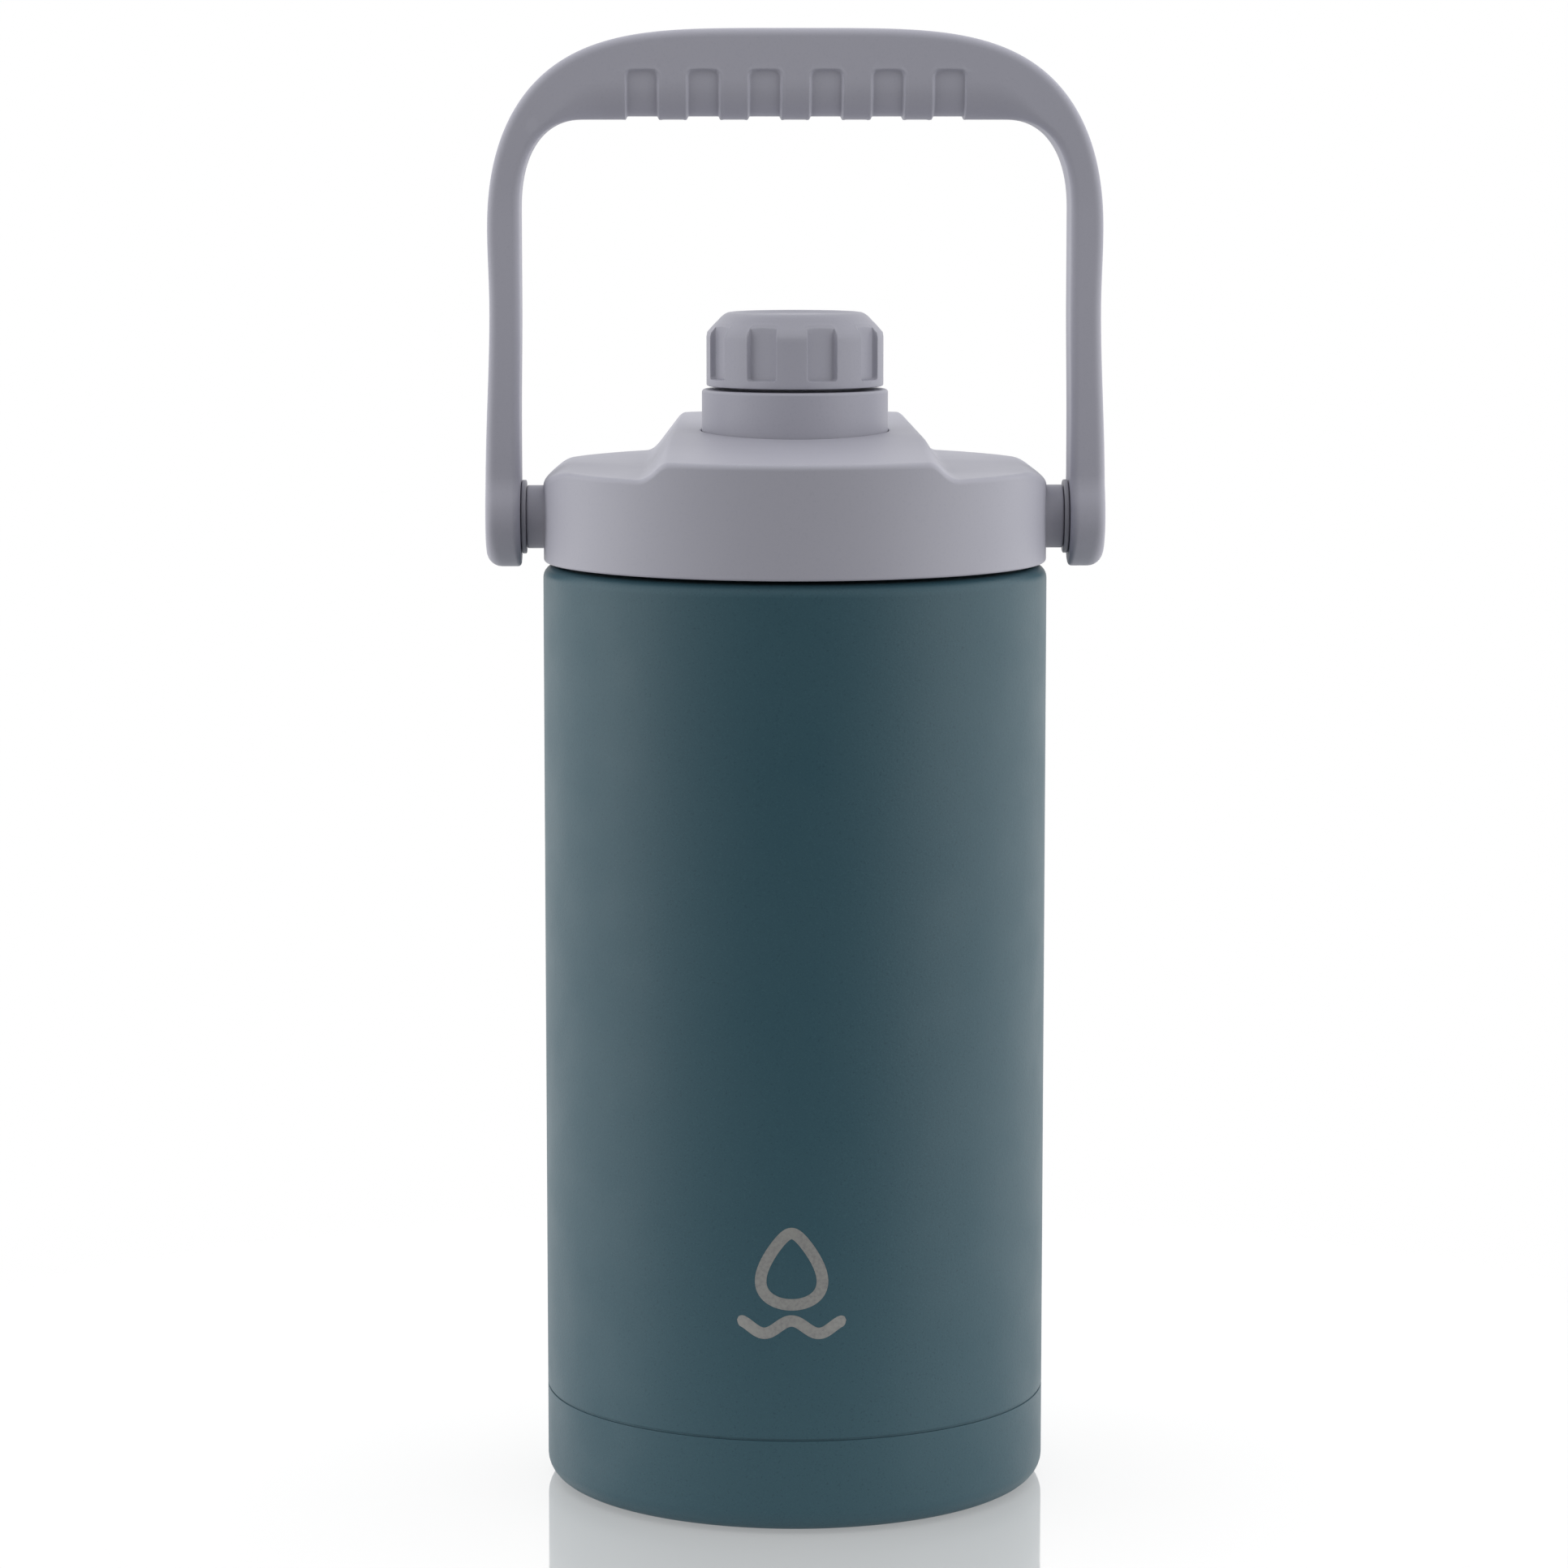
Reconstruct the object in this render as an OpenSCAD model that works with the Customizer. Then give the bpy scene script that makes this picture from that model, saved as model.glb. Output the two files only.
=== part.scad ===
// Half-gallon vacuum jug: steel body, screw lid with a chug spout and cap, and a swinging carry handle.
// +Z is up, the front faces -Y and the handle turns about an axis along X. The origin is the base's centre.

/* [Body] */
// Outside radius of the painted body
body_r = 60; // [59.5:0.5:61]
// Height of the body's flat shoulder above the base
shoulder_z = 221; // [216:1:222]
// Radius of the shoulder's outer corner
shoulder_corner = 3; // [2:0.5:4]
// Height of the separate base cup
cup_h = 22; // [18:1:26]
// Radius of the base's lower corner
cup_corner = 5; // [4:0.5:5.5]
// Wall of the outer shell
shell_t = 0.8; // [0.7:0.1:1]
// Wall of the inner liner
liner_t = 0.6; // [0.5:0.1:0.8]
// Evacuated gap between the two walls
vacuum_gap = 3.2; // [2.8:0.2:4]

/* [Neck] */
// Outside radius of the steel neck
neck_r = 49.5; // [49.3:0.1:49.6]
// Height of the drinking rim above the base
rim_z = 236; // [235.8:0.1:236]
// Rise of the lid in one full turn
lid_lead = 8; // [7:1:9]

/* [Lid] */
// Outside radius of the lid's wall
lid_r = 59.8; // [59.5:0.1:60]
// Lowest edge of the lid's wall
lid_bottom = 221.9; // [221.7:0.1:222.4]
// Height of the side shoulders at the middle
lid_side_z = 244.7; // [244.4:0.1:245]
// Height of the front edge of the raised platform
lid_front_z = 248.2; // [247.6:0.2:249]
// Height of the ridge across the platform
lid_ridge_z = 252.4; // [252.2:0.1:252.7]
// Height of the platform's back edge
lid_top_z = 254.6; // [254:0.1:255]
// Wall of the lid's outer moulding
lid_t = 2.5; // [2:0.1:2.8]

/* [Spout and cap] */
// Radius of the collar under the cap
collar_r = 22.1; // [21.8:0.1:23]
// Height of the collar's top face
collar_top = 262.6; // [262:0.1:263]
// Radius of the drinking bore
bore_r = 12.6; // [11:0.2:12.8]
// Outside radius of the cap
cap_r = 21; // [20.8:0.1:21.5]
// Highest point of the cap
cap_top = 280.8; // [280:0.2:283]
// Number of finger recesses round the cap
cap_recesses = 9; // [6:1:10]
// Rise of the cap in one full turn
cap_lead = 5; // [4:1:6]

/* [Handle] */
// Height of the handle's pivot above the base
pivot_z = 232.3; // [231:0.1:233]
// Highest point of the grip
grip_top = 347.2; // [340:0.2:350]
// Height of the flat underside of the grip
grip_under = 326; // [322:0.5:328]
// Half of the grip's depth from front to back
grip_half_depth = 12; // [10:0.5:13]
// Inner face of each arm, measured from the middle
arm_in = 65.1; // [65:0.1:66]
// Outer face of each hub, measured from the middle
hub_out = 73.3; // [73:0.1:74.5]
// Radius of each hub's rounded lower end
hub_r = 11.8; // [11:0.1:12.5]
// Number of finger recesses in the grip
grip_recesses = 6; // [4:1:6]

/* [Hidden] */
$fn = 120;
big = 200;

// colours
paint = [0.22, 0.36, 0.41];
lilac = [0.64, 0.64, 0.69];
steel = [0.75, 0.76, 0.77];
pale = [0.86, 0.86, 0.88];
silicone = [0.92, 0.92, 0.9];
brass = [0.8, 0.65, 0.3];
dark = [0.25, 0.25, 0.28];

// body, derived
shell_in = body_r - shell_t;
tuck_r = body_r - 1;
tuck_in = tuck_r - shell_t;
cup_in = tuck_r + 0.1;
shell_foot = 7;
seam = 0.5;
liner_r = shell_in - vacuum_gap;
liner_in = liner_r - liner_t;
liner_floor = 12;
liner_low_corner = 6;
liner_high_corner = 8;
liner_shoulder = shoulder_z - 9;
neck_in = neck_r - shell_t;
liner_neck_r = neck_in - 0.8;
liner_neck_in = liner_neck_r - liner_t;
rim_t = 1.2;
foot_in = 50;
foot_rise = 1.5;
cup_floor = 1;
bead_r = 4;

// screw threads: the mating ridges lie half way between each other
lid_starts = 2;
cap_starts = 1;
ridge_root = 1.1;
ridge_crest = 0.5;
ridge_step = 10;
neck_thread_z = shoulder_z + 5;
neck_thread_turn = 200;
neck_crest = neck_r + 1.5;
lid_thread_r = neck_r + 1.9;
lid_crest = neck_r + 0.6;
spout_r = 15;
spout_thread_z = collar_top + 3.4;
spout_thread_turn = 300;
spout_crest = spout_r + 1.2;
cap_thread_r = spout_r + 1.6;
cap_crest = spout_r + 0.5;

// lid, derived
seal_gap = 0.05;
gasket_t = 1.9;
lid_disc_z = rim_z + 2;
lid_disc_t = 1.8;
lid_liner_r = lid_thread_r + 2;
lid_in = lid_r - lid_t;
side_flat = 54.6;
facet_z = 241.2;
hollow_side_z = lid_side_z - lid_t;
hollow_flat = side_flat - 0.7;
hollow_facet_z = facet_z - 1.4;
platform_back = 62;
platform_ridge = 18;
top_back_w = 26.7;
top_ridge_w = 29.7;
front_w = 30.9;
base_w = 34.5;
collar_foot = 251.3;
shoulder_tilt = 0.7;
stem_r = 16;
o_ring_r = 0.9;

// spout and cap, derived
spout_top = collar_top + 12;
cap_bottom = collar_top + 0.8;
cap_in = cap_r - 2.8;
cap_ceiling = cap_top - 2.8;
cap_disc_z = spout_top + 1.6;
recess_floor_r = cap_r - 1.6;
recess_w = 7.3;
recess_z = 265.2;
recess_h = 12.8;
recess_turn = -3.1;

// handle, derived
boss_r = 7.5;
boss_out = 63.8;
boss_in = 53.8;
insert_r = 4;
insert_in = 54.2;
screw_r = 2.1;
shoulder_r = 4;
bush_in_r = shoulder_r + 0.05;
bush_r = 5.5;
head_seat = 70;
head_r = 6.5;
head_t = 1.3;
pocket_r = 7;
washer_r = 8.75;
arm_out = 72.1;
corner_out = 41;
corner_out_x = 31.3;
corner_power = 2.1;
corner_in_x = 50;
corner_in_z = 304.5;
inner_side = 64.8;
inner_power = 2.35;
recess_pitch = 14.4;
finger_w = 7.8;
finger_top = 337.6;
finger_deep = 0.7;

// Points round part of a circle in a profile
function arc(cx, cz, r, from, to, n = 8) =
  [for (i = [0:n]) [cx + r * cos(from + (to - from) * i / n), cz + r * sin(from + (to - from) * i / n)]];

// Points round a quarter of a superellipse, from the side up to the top
function quarter(cx, cz, a, b, power, n = 14) =
  [for (i = [0:n]) let (t = 90 * i / n) [cx + a * pow(cos(t), 2 / power), cz + b * pow(sin(t), 2 / power)]];

function flip(points) = [for (i = [len(points) - 1:-1:0]) [-points[i][0], points[i][1]]];

// One helical ridge, rising as it turns. It stands out from r_root to r_crest, either outwards or inwards.
module ridge(r_root, r_crest, z, lead, turn) {
  steps = floor(turn / ridge_step);
  outward = r_crest > r_root;
  section = outward
    ? [[r_root, ridge_root], [r_crest, ridge_crest], [r_crest, -ridge_crest], [r_root, -ridge_root]]
    : [[r_root, -ridge_root], [r_crest, -ridge_crest], [r_crest, ridge_crest], [r_root, ridge_root]];
  points = [for (i = [0:steps]) let (a = i * ridge_step)
    each [for (p = section) [p[0] * cos(a), p[0] * sin(a), z + lead * a / 360 + p[1]]]];
  sides = [for (i = [0:steps - 1]) for (k = [0:3]) let (a = 4 * i + k, b = 4 * i + (k + 1) % 4)
    each [[a, a + 4, b + 4], [a, b + 4, b]]];
  last = 4 * steps;
  polyhedron(points, concat([[0, 1, 2, 3]], sides, [[last + 3, last + 2, last + 1, last]]), convexity = 6);
}

module thread(starts, r_root, r_crest, z, lead, turn, start = 0) {
  for (k = [0:starts - 1]) rotate([0, 0, start + k * 360 / starts]) ridge(r_root, r_crest, z, lead, turn);
}

// Turns a shape drawn along +Z to lie along +X, at the pivot's height
module on_pivot() {
  translate([0, 0, pivot_z]) rotate([0, 90, 0]) children();
}

module tube(r_out, r_in, from, to) {
  translate([0, 0, from]) difference() {
    cylinder(r = r_out, h = to - from);
    translate([0, 0, -1]) cylinder(r = r_in, h = to - from + 2);
  }
}

module outer_shell() {
  c = shoulder_corner;
  color(paint) union() {
    rotate_extrude() polygon(concat(
      [[tuck_in, shell_foot], [tuck_r, shell_foot], [tuck_r, cup_h + seam], [body_r, cup_h + seam]],
      arc(body_r - c, shoulder_z - c, c, 0, 90),
      arc(neck_r + 1, shoulder_z + 1, 1, 270, 180, 4),
      [[neck_r, rim_z - rim_t], [neck_in, rim_z - rim_t]],
      [[neck_in, shoulder_z - shell_t], [body_r - c, shoulder_z - shell_t]],
      arc(body_r - c, shoulder_z - c, c - shell_t, 90, 0),
      [[shell_in, cup_h + seam + shell_t], [tuck_in, cup_h + seam + shell_t]]));
    thread(lid_starts, neck_r - 0.4, neck_crest, neck_thread_z, lid_lead, neck_thread_turn);
  }
}

module shell_bottom() {
  color(steel) rotate_extrude() polygon([
    [0.8, shell_foot + 2], [bead_r, shell_foot + 2], [bead_r + 1, shell_foot + 0.8],
    [tuck_in, shell_foot + 0.8], [tuck_in, shell_foot], [bead_r + 0.5, shell_foot],
    [bead_r - 0.5, shell_foot + 1.2], [0.8, shell_foot + 1.2]]);
}

module vacuum_seal() {
  color(dark) rotate_extrude() polygon([
    [0, shell_foot + 2], [0.8, shell_foot + 2], [0.8, shell_foot + 1.2], [bead_r - 0.6, shell_foot + 1.2],
    [bead_r - 1.2, shell_foot + 0.3], [0, shell_foot]]);
}

module base_cup() {
  c = cup_corner;
  color(paint) rotate_extrude() polygon(concat(
    [[0, foot_rise], [foot_in - 2, foot_rise], [foot_in, 0]],
    arc(body_r - c, c, c, 270, 360),
    [[body_r, cup_h], [cup_in, cup_h]],
    arc(cup_in - c, c + cup_floor, c, 0, -90),
    [[foot_in, cup_floor], [foot_in - 2, foot_rise + cup_floor], [0, foot_rise + cup_floor]]));
}

module inner_liner() {
  low = liner_low_corner;
  high = liner_high_corner;
  high_z = liner_shoulder - high;
  color(steel) rotate_extrude() polygon(concat(
    [[0, liner_floor - liner_t]],
    arc(liner_r - low, liner_floor - liner_t + low, low, 270, 360),
    arc(liner_r - high, high_z, high, 0, 90),
    [[liner_neck_r, liner_shoulder + 0.5], [liner_neck_r, rim_z - rim_t], [neck_r, rim_z - rim_t]],
    arc(neck_r - 0.5, rim_z - 0.5, 0.5, 0, 90, 4),
    arc(liner_neck_in + 0.5, rim_z - 0.5, 0.5, 90, 180, 4),
    [[liner_neck_in, liner_shoulder]],
    arc(liner_r - high, high_z, high - liner_t, 90, 0),
    arc(liner_r - low, liner_floor - liner_t + low, low - liner_t, 360, 270),
    [[0, liner_floor]]));
}

module getter_pellet() {
  color(dark) translate([20, 0, liner_floor - liner_t - 2.4]) cylinder(r = 7, h = 2.4);
}

module lid_gasket() {
  color(silicone) tube(neck_crest, liner_neck_in - 1, rim_z + seal_gap, rim_z + seal_gap + gasket_t);
}

// A thin bar across the lid, for the hull of the platform
module crossbar(half_w, y, top) {
  translate([-half_w, y, top - 0.2]) cube([2 * half_w, 0.1, 0.2]);
}

// The raised platform of the lid, made smaller all round by an inset. A hollow's ceiling is level.
module platform(inset) {
  back_z = inset > 0 ? lid_ridge_z - inset : lid_top_z;
  hull() {
    crossbar(top_back_w - inset, platform_back - inset, back_z);
    crossbar(top_ridge_w - inset, -platform_ridge, lid_ridge_z - inset);
    translate([-front_w + inset, -lid_r - 2, lid_front_z - inset - 0.6]) cube([2 * (front_w - inset), 1, 0.4]);
    translate([-base_w + inset, -lid_r - 2, lid_side_z - 4]) {
      cube([2 * (base_w - inset), lid_r + 2 + platform_back - inset, 4 - inset]);
    }
  }
}

// The lid's outline down to its lower edge: a round wall, sloping side facets and the platform
module lid_block(r, bottom, side_z, flat, low_z, inset) {
  intersection() {
    translate([0, 0, bottom]) cylinder(r = r, h = 40);
    union() {
      translate([0, 0, side_z]) rotate([90 + shoulder_tilt, 0, 0]) linear_extrude(big, center = true) polygon([
        [-body_r - 1, bottom - side_z - 1], [body_r + 1, bottom - side_z - 1], [body_r + 1, low_z - side_z - 0.6],
        [flat, 0], [-flat, 0], [-body_r - 1, low_z - side_z - 0.6]]);
      platform(inset);
    }
  }
}

module lid_hollow(gap) {
  lid_block(lid_in - gap, lid_bottom - 1, hollow_side_z - gap, hollow_flat - gap, hollow_facet_z - gap, lid_t + gap);
}

module lid_shell() {
  color(lilac) difference() {
    union() {
      difference() {
        lid_block(lid_r, lid_bottom, lid_side_z, side_flat, facet_z, 0);
        lid_hollow(0);
      }
      for (s = [0, 180]) rotate([0, 0, s]) on_pivot() {
        translate([0, 0, lid_in - 1]) cylinder(r = boss_r, h = boss_out - lid_in + 1);
        translate([0, 0, boss_in]) cylinder(r = boss_r - 1, h = lid_in - boss_in);
      }
    }
    translate([0, 0, collar_foot]) cylinder(r = collar_r + 0.25, h = 10);
    translate([0, 0, lid_side_z]) cylinder(r = stem_r + 0.1, h = 20);
    for (s = [0, 180]) rotate([0, 0, s]) on_pivot() translate([0, 0, boss_in - 1]) cylinder(r = insert_r, h = 12);
  }
}

module lid_liner() {
  color(pale) union() {
    tube(lid_liner_r, lid_thread_r, lid_bottom + 1.2, lid_disc_z + 0.5);
    tube(lid_liner_r, stem_r + 0.1, lid_disc_z, lid_disc_z + lid_disc_t);
    thread(lid_starts, lid_thread_r + 0.5, lid_crest, neck_thread_z, lid_lead, neck_thread_turn, 90);
  }
}

module lid_foam() {
  color(silicone) difference() {
    intersection() {
      lid_hollow(0.2);
      translate([0, 0, lid_disc_z + lid_disc_t]) cylinder(r = lid_liner_r, h = 20);
    }
    translate([0, 0, lid_disc_z]) cylinder(r = stem_r + 2.4, h = 20);
  }
}

module spout() {
  color(lilac) union() {
    difference() {
      rotate_extrude() polygon(concat(
        [[bore_r - 1, lid_disc_z - 1.6], [stem_r, lid_disc_z - 1.6], [stem_r + 0.9, lid_disc_z - 0.1]],
        [[stem_r, lid_disc_z - 0.1], [stem_r, collar_foot], [collar_r, collar_foot]],
        arc(collar_r - 0.6, collar_top - 0.6, 0.6, 0, 90, 4),
        arc(spout_r + 0.6, collar_top + 0.6, 0.6, 270, 180, 4),
        arc(spout_r - 1, spout_top - 1, 1, 0, 90, 6),
        [[bore_r - 1, spout_top]]));
      translate([0, 0, lid_disc_z - 5]) cylinder(r = bore_r, h = 60);
    }
    thread(cap_starts, spout_r - 0.5, spout_crest, spout_thread_z, cap_lead, spout_thread_turn);
  }
}

module spout_o_ring() {
  z = lid_disc_z + lid_disc_t + o_ring_r + 0.05;
  color(dark) rotate_extrude() translate([stem_r + o_ring_r + 0.05, z]) circle(r = o_ring_r, $fn = 32);
}

// The pieces of one pivot, drawn along +X
module pivot_insert() {
  color(brass) on_pivot() difference() {
    translate([0, 0, insert_in]) cylinder(r = insert_r, h = boss_out - 0.4 - insert_in);
    translate([0, 0, insert_in - 1]) cylinder(r = screw_r, h = 20);
  }
}

module pivot_washer() {
  color(dark) on_pivot() difference() {
    translate([0, 0, boss_out]) cylinder(r = washer_r, h = arm_in - 0.2 - boss_out);
    translate([0, 0, boss_out - 1]) cylinder(r = shoulder_r + 0.3, h = 5);
  }
}

module pivot_screw() {
  color(steel) on_pivot() difference() {
    union() {
      translate([0, 0, insert_in + 0.8]) cylinder(r = screw_r, h = boss_out - insert_in);
      translate([0, 0, boss_out - 0.4]) cylinder(r = shoulder_r, h = head_seat + 0.2 - boss_out + 0.4);
      translate([0, 0, head_seat + 0.2]) cylinder(r = head_r, h = head_t);
    }
    translate([0, 0, head_seat - 1.5]) cylinder(r = 2.3, h = 5, $fn = 6);
  }
}

module handle_bush() {
  color(pale) on_pivot() difference() {
    translate([0, 0, arm_in]) cylinder(r = bush_r, h = head_seat - arm_in);
    translate([0, 0, arm_in - 1]) cylinder(r = bush_in_r, h = 10);
  }
}

module pivot_cap() {
  color(lilac) on_pivot() translate([0, 0, hub_out - 1.4]) cylinder(r = pocket_r - 0.05, h = 1.4);
}

module left() {
  rotate([0, 0, 180]) children();
}

// The handle seen from the front: an arch with a thick grip, thin arms and rounded lower ends
module handle_front() {
  low = pivot_z - hub_r;
  corner_z = grip_top - 0.8 - corner_out;
  outer = concat(
    arc(hub_out - 4, low + 4, 4, 270, 360),
    [[hub_out, pivot_z + 12], [arm_out, pivot_z + 50]],
    quarter(corner_out_x, corner_z, corner_out, corner_out, corner_power),
    [[corner_out_x / 2, grip_top - 0.2]]);
  inner = concat([[inner_side, corner_in_z - 20]],
    quarter(corner_in_x, corner_in_z, inner_side - corner_in_x, grip_under - corner_in_z, inner_power));
  polygon(concat(outer, [[0, grip_top]], flip(outer), [[-arm_in, low], [-arm_in, pivot_z + 20]],
    flip([for (i = [len(inner) - 1:-1:0]) inner[i]]), [for (i = [len(inner) - 1:-1:0]) inner[i]],
    [[arm_in, pivot_z + 20], [arm_in, low]]));
}

// The handle seen from the side: round hubs, slimmer arms and a deeper grip
module handle_side() {
  w = grip_half_depth;
  half = concat([[9.4, pivot_z + 8], [8.8, pivot_z + 35], [9.2, pivot_z + 62], [w, grip_under - 2]],
    arc(w - 5, grip_top - 5, 5, 0, 90));
  union() {
    translate([0, pivot_z]) circle(r = hub_r);
    polygon(concat([[8.4, pivot_z]], half, flip(half), [[-8.4, pivot_z]]));
  }
}

module finger_recesses() {
  w = grip_half_depth;
  for (i = [0:grip_recesses - 1]) translate([(i - (grip_recesses - 1) / 2) * recess_pitch - finger_w / 2, 0, 0]) {
    for (y = [-w - 1, w - finger_deep]) translate([0, y, grip_under - 1]) {
      cube([finger_w, 1 + finger_deep, finger_top - grip_under + 1]);
    }
    translate([0, -w - 1, grip_under - 1]) cube([finger_w, 2 * w + 2, 1 + finger_deep]);
  }
}

module carry_handle() {
  color(lilac) difference() {
    intersection() {
      translate([0, big / 2, 0]) rotate([90, 0, 0]) linear_extrude(big) handle_front();
      translate([-big / 2, 0, 0]) rotate([90, 0, 90]) linear_extrude(big) handle_side();
    }
    finger_recesses();
    for (s = [0, 180]) rotate([0, 0, s]) on_pivot() {
      translate([0, 0, arm_in - 2]) cylinder(r = bush_r, h = 10);
      translate([0, 0, head_seat]) cylinder(r = pocket_r, h = 10);
    }
  }
}

module cap_gasket() {
  color(silicone) tube(cap_thread_r - 0.6, bore_r - 0.4, spout_top + seal_gap, cap_disc_z - seal_gap);
}

module cap_shell() {
  color(lilac) difference() {
    rotate_extrude() polygon([
      [0, cap_ceiling], [cap_in, cap_ceiling], [cap_in, cap_bottom], [cap_r, cap_bottom],
      [cap_r, cap_top - 4.9], [cap_r - 3.5, cap_top - 1.1], [cap_r - 5.2, cap_top],
      [cap_r - 6.6, cap_top - 0.2], [cap_r - 8, cap_top - 0.8], [0, cap_top - 0.8]]);
    for (k = [0:cap_recesses - 1]) rotate([0, 0, (k + 0.5) * 360 / cap_recesses - 90 + recess_turn]) {
      translate([recess_floor_r, -recess_w / 2, recess_z]) cube([5, recess_w, recess_h]);
    }
  }
}

module cap_liner() {
  color(pale) union() {
    tube(cap_in - 0.1, cap_thread_r, cap_bottom + 0.6, cap_disc_z + 0.5);
    translate([0, 0, cap_disc_z]) cylinder(r = cap_in - 0.1, h = cap_ceiling - cap_disc_z);
    thread(cap_starts, cap_thread_r + 0.5, cap_crest, spout_thread_z, cap_lead, spout_thread_turn, 180);
  }
}

outer_shell();
shell_bottom();
base_cup();
inner_liner();
vacuum_seal();
getter_pellet();
lid_gasket();
lid_shell();
lid_liner();
lid_foam();
spout();
spout_o_ring();
left() pivot_insert();  // pivot_insert_left
pivot_insert();  // pivot_insert_right
left() pivot_washer();  // pivot_washer_left
pivot_washer();  // pivot_washer_right
left() pivot_screw();  // pivot_screw_left
pivot_screw();  // pivot_screw_right
carry_handle();
left() handle_bush();  // handle_bush_left
handle_bush();  // handle_bush_right
left() pivot_cap();  // pivot_cap_left
pivot_cap();  // pivot_cap_right
cap_gasket();
cap_shell();
cap_liner();
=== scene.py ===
"""Looks for the half-gallon vacuum jug: painted steel body, moulded lid, chug spout, cap and carry handle.

Shapes are drawn in millimetres in the row frame (+Z up, front facing -Y) and turned into metres as meshes.
"""

import math

import bmesh
import bpy
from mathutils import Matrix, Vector


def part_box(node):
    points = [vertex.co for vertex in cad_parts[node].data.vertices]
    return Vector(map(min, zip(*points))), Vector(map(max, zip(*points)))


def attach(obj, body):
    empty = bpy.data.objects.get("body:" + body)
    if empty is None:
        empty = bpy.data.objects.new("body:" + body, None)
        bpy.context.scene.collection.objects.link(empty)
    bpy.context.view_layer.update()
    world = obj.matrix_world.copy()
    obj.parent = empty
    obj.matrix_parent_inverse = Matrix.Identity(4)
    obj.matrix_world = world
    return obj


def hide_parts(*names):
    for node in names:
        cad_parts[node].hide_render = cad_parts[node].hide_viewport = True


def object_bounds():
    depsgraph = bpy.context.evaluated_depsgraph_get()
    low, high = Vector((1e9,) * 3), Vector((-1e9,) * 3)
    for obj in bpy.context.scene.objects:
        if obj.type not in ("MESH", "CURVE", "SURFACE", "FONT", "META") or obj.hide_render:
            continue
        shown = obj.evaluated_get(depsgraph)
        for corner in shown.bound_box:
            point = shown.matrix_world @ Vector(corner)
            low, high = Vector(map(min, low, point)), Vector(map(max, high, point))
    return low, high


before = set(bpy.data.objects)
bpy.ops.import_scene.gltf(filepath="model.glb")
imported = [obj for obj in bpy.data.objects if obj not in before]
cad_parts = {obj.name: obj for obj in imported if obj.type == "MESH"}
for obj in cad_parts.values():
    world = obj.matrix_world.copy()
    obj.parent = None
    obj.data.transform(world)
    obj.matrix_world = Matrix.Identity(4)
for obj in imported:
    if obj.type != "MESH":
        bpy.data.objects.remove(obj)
cad_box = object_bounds()

MM = 0.001


def box_mm(node):
    """The lowest and highest corner of a CAD node, in millimetres."""
    low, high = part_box(node)
    return low / MM, high / MM


# ---------------------------------------------------------------- sizes

# body
BODY_R = box_mm("outer_shell")[1].x
PAINT_R = BODY_R - 0.04
CUP_TOP = box_mm("base_cup")[1].z
SEAM = 0.5
TUCK_R = BODY_R - 1
SHOULDER_Z = 221
SHOULDER_CORNER = 3
CUP_CORNER = 5
SHELL_T = 0.8
SHELL_FOOT = box_mm("outer_shell")[0].z
FOOT_IN = 50
FOOT_RISE = 1.5

# neck and liner
RIM_Z = box_mm("inner_liner")[1].z
RIM_T = 1.2
NECK_R = 49.5
NECK_IN = NECK_R - SHELL_T
LINER_R = box_mm("inner_liner")[1].x
LINER_FLOOR = 12
LINER_T = 0.6
LINER_NECK_R = 47.9
LINER_NECK_T = 1.0
LINER_SHOULDER = 212
LINER_SHOULDER_CORNER = 8
LINER_FLOOR_CORNER = 6
LINER_DISH = 0.8
NECK_THREAD_Z = SHOULDER_Z + 5
NECK_THREAD_TURN = 200
NECK_CREST = NECK_R + 1.5
LID_LEAD = 8
THREAD_STEP = 2.5
THREAD_TAPER = 24

# lid
LID_R = box_mm("lid_shell")[1].y
LID_BOTTOM = box_mm("lid_shell")[0].z
LID_TOP = box_mm("lid_shell")[1].z
LID_T = 2.5
LID_SIDE_Z = 244.7
SHOULDER_RISE = 0.0122
RIDGE_Z = 252.4
LID_FRONT_Z = 248.2
SIDE_FLAT = 54.6
SIDE_SLOPE = 0.65
RIDGE_Y = -18
BACK_Y = 53
TOP_BACK_W = 27
TOP_RIDGE_W = 29.7
FRONT_W = 30.9
BASE_W = 34.5
STEM_R = 16
POCKET_Z = 251.3
LID_EDGE = 1.3
POCKET_EDGE = 0.3
LID_FOOT_EDGE = 0.6
FRONT_RISE = 0.1
SIDE_ROUNDING = 1.0
RIDGE_ROUNDING = 0.6
FLANK_ROUNDING = 1.3
STEP_ROUNDING = 2.2
LINER_CUP_R = box_mm("lid_liner")[1].x
LID_THREAD_R = 51.4
LID_DISC_Z = 238
LID_DISC_T = 1.8

# spout and cap
COLLAR_R = box_mm("spout")[1].x
COLLAR_TOP = 262.6
SPOUT_R = 15
SPOUT_TOP = box_mm("spout")[1].z
BORE_R = 12.6
SPOUT_THREAD_Z = COLLAR_TOP + 3.4
SPOUT_THREAD_TURN = 300
CAP_LEAD = 5
CAP_R = box_mm("cap_shell")[1].x
CAP_BOTTOM = box_mm("cap_shell")[0].z
CAP_TOP = box_mm("cap_shell")[1].z
CAP_IN = CAP_R - 2.8
CAP_CEILING = CAP_TOP - 2.8
CAP_CHAMFER_Z = CAP_TOP - 4.9
CAP_CHAMFER_SLOPE = 3.5 / 3.8
CAP_RIM = CAP_R - 3.5
CAP_THREAD_R = 16.6
CAP_DISC_Z = 276.2
WINDOWS = 9
WINDOW_LOW = 265.2
WINDOW_HIGH = 278
WINDOW_HALF = 3.65
WINDOW_FLOOR = CAP_R - 1.6
WINDOW_TURN = -3.1
WINDOW_CORNER = 0.8

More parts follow.
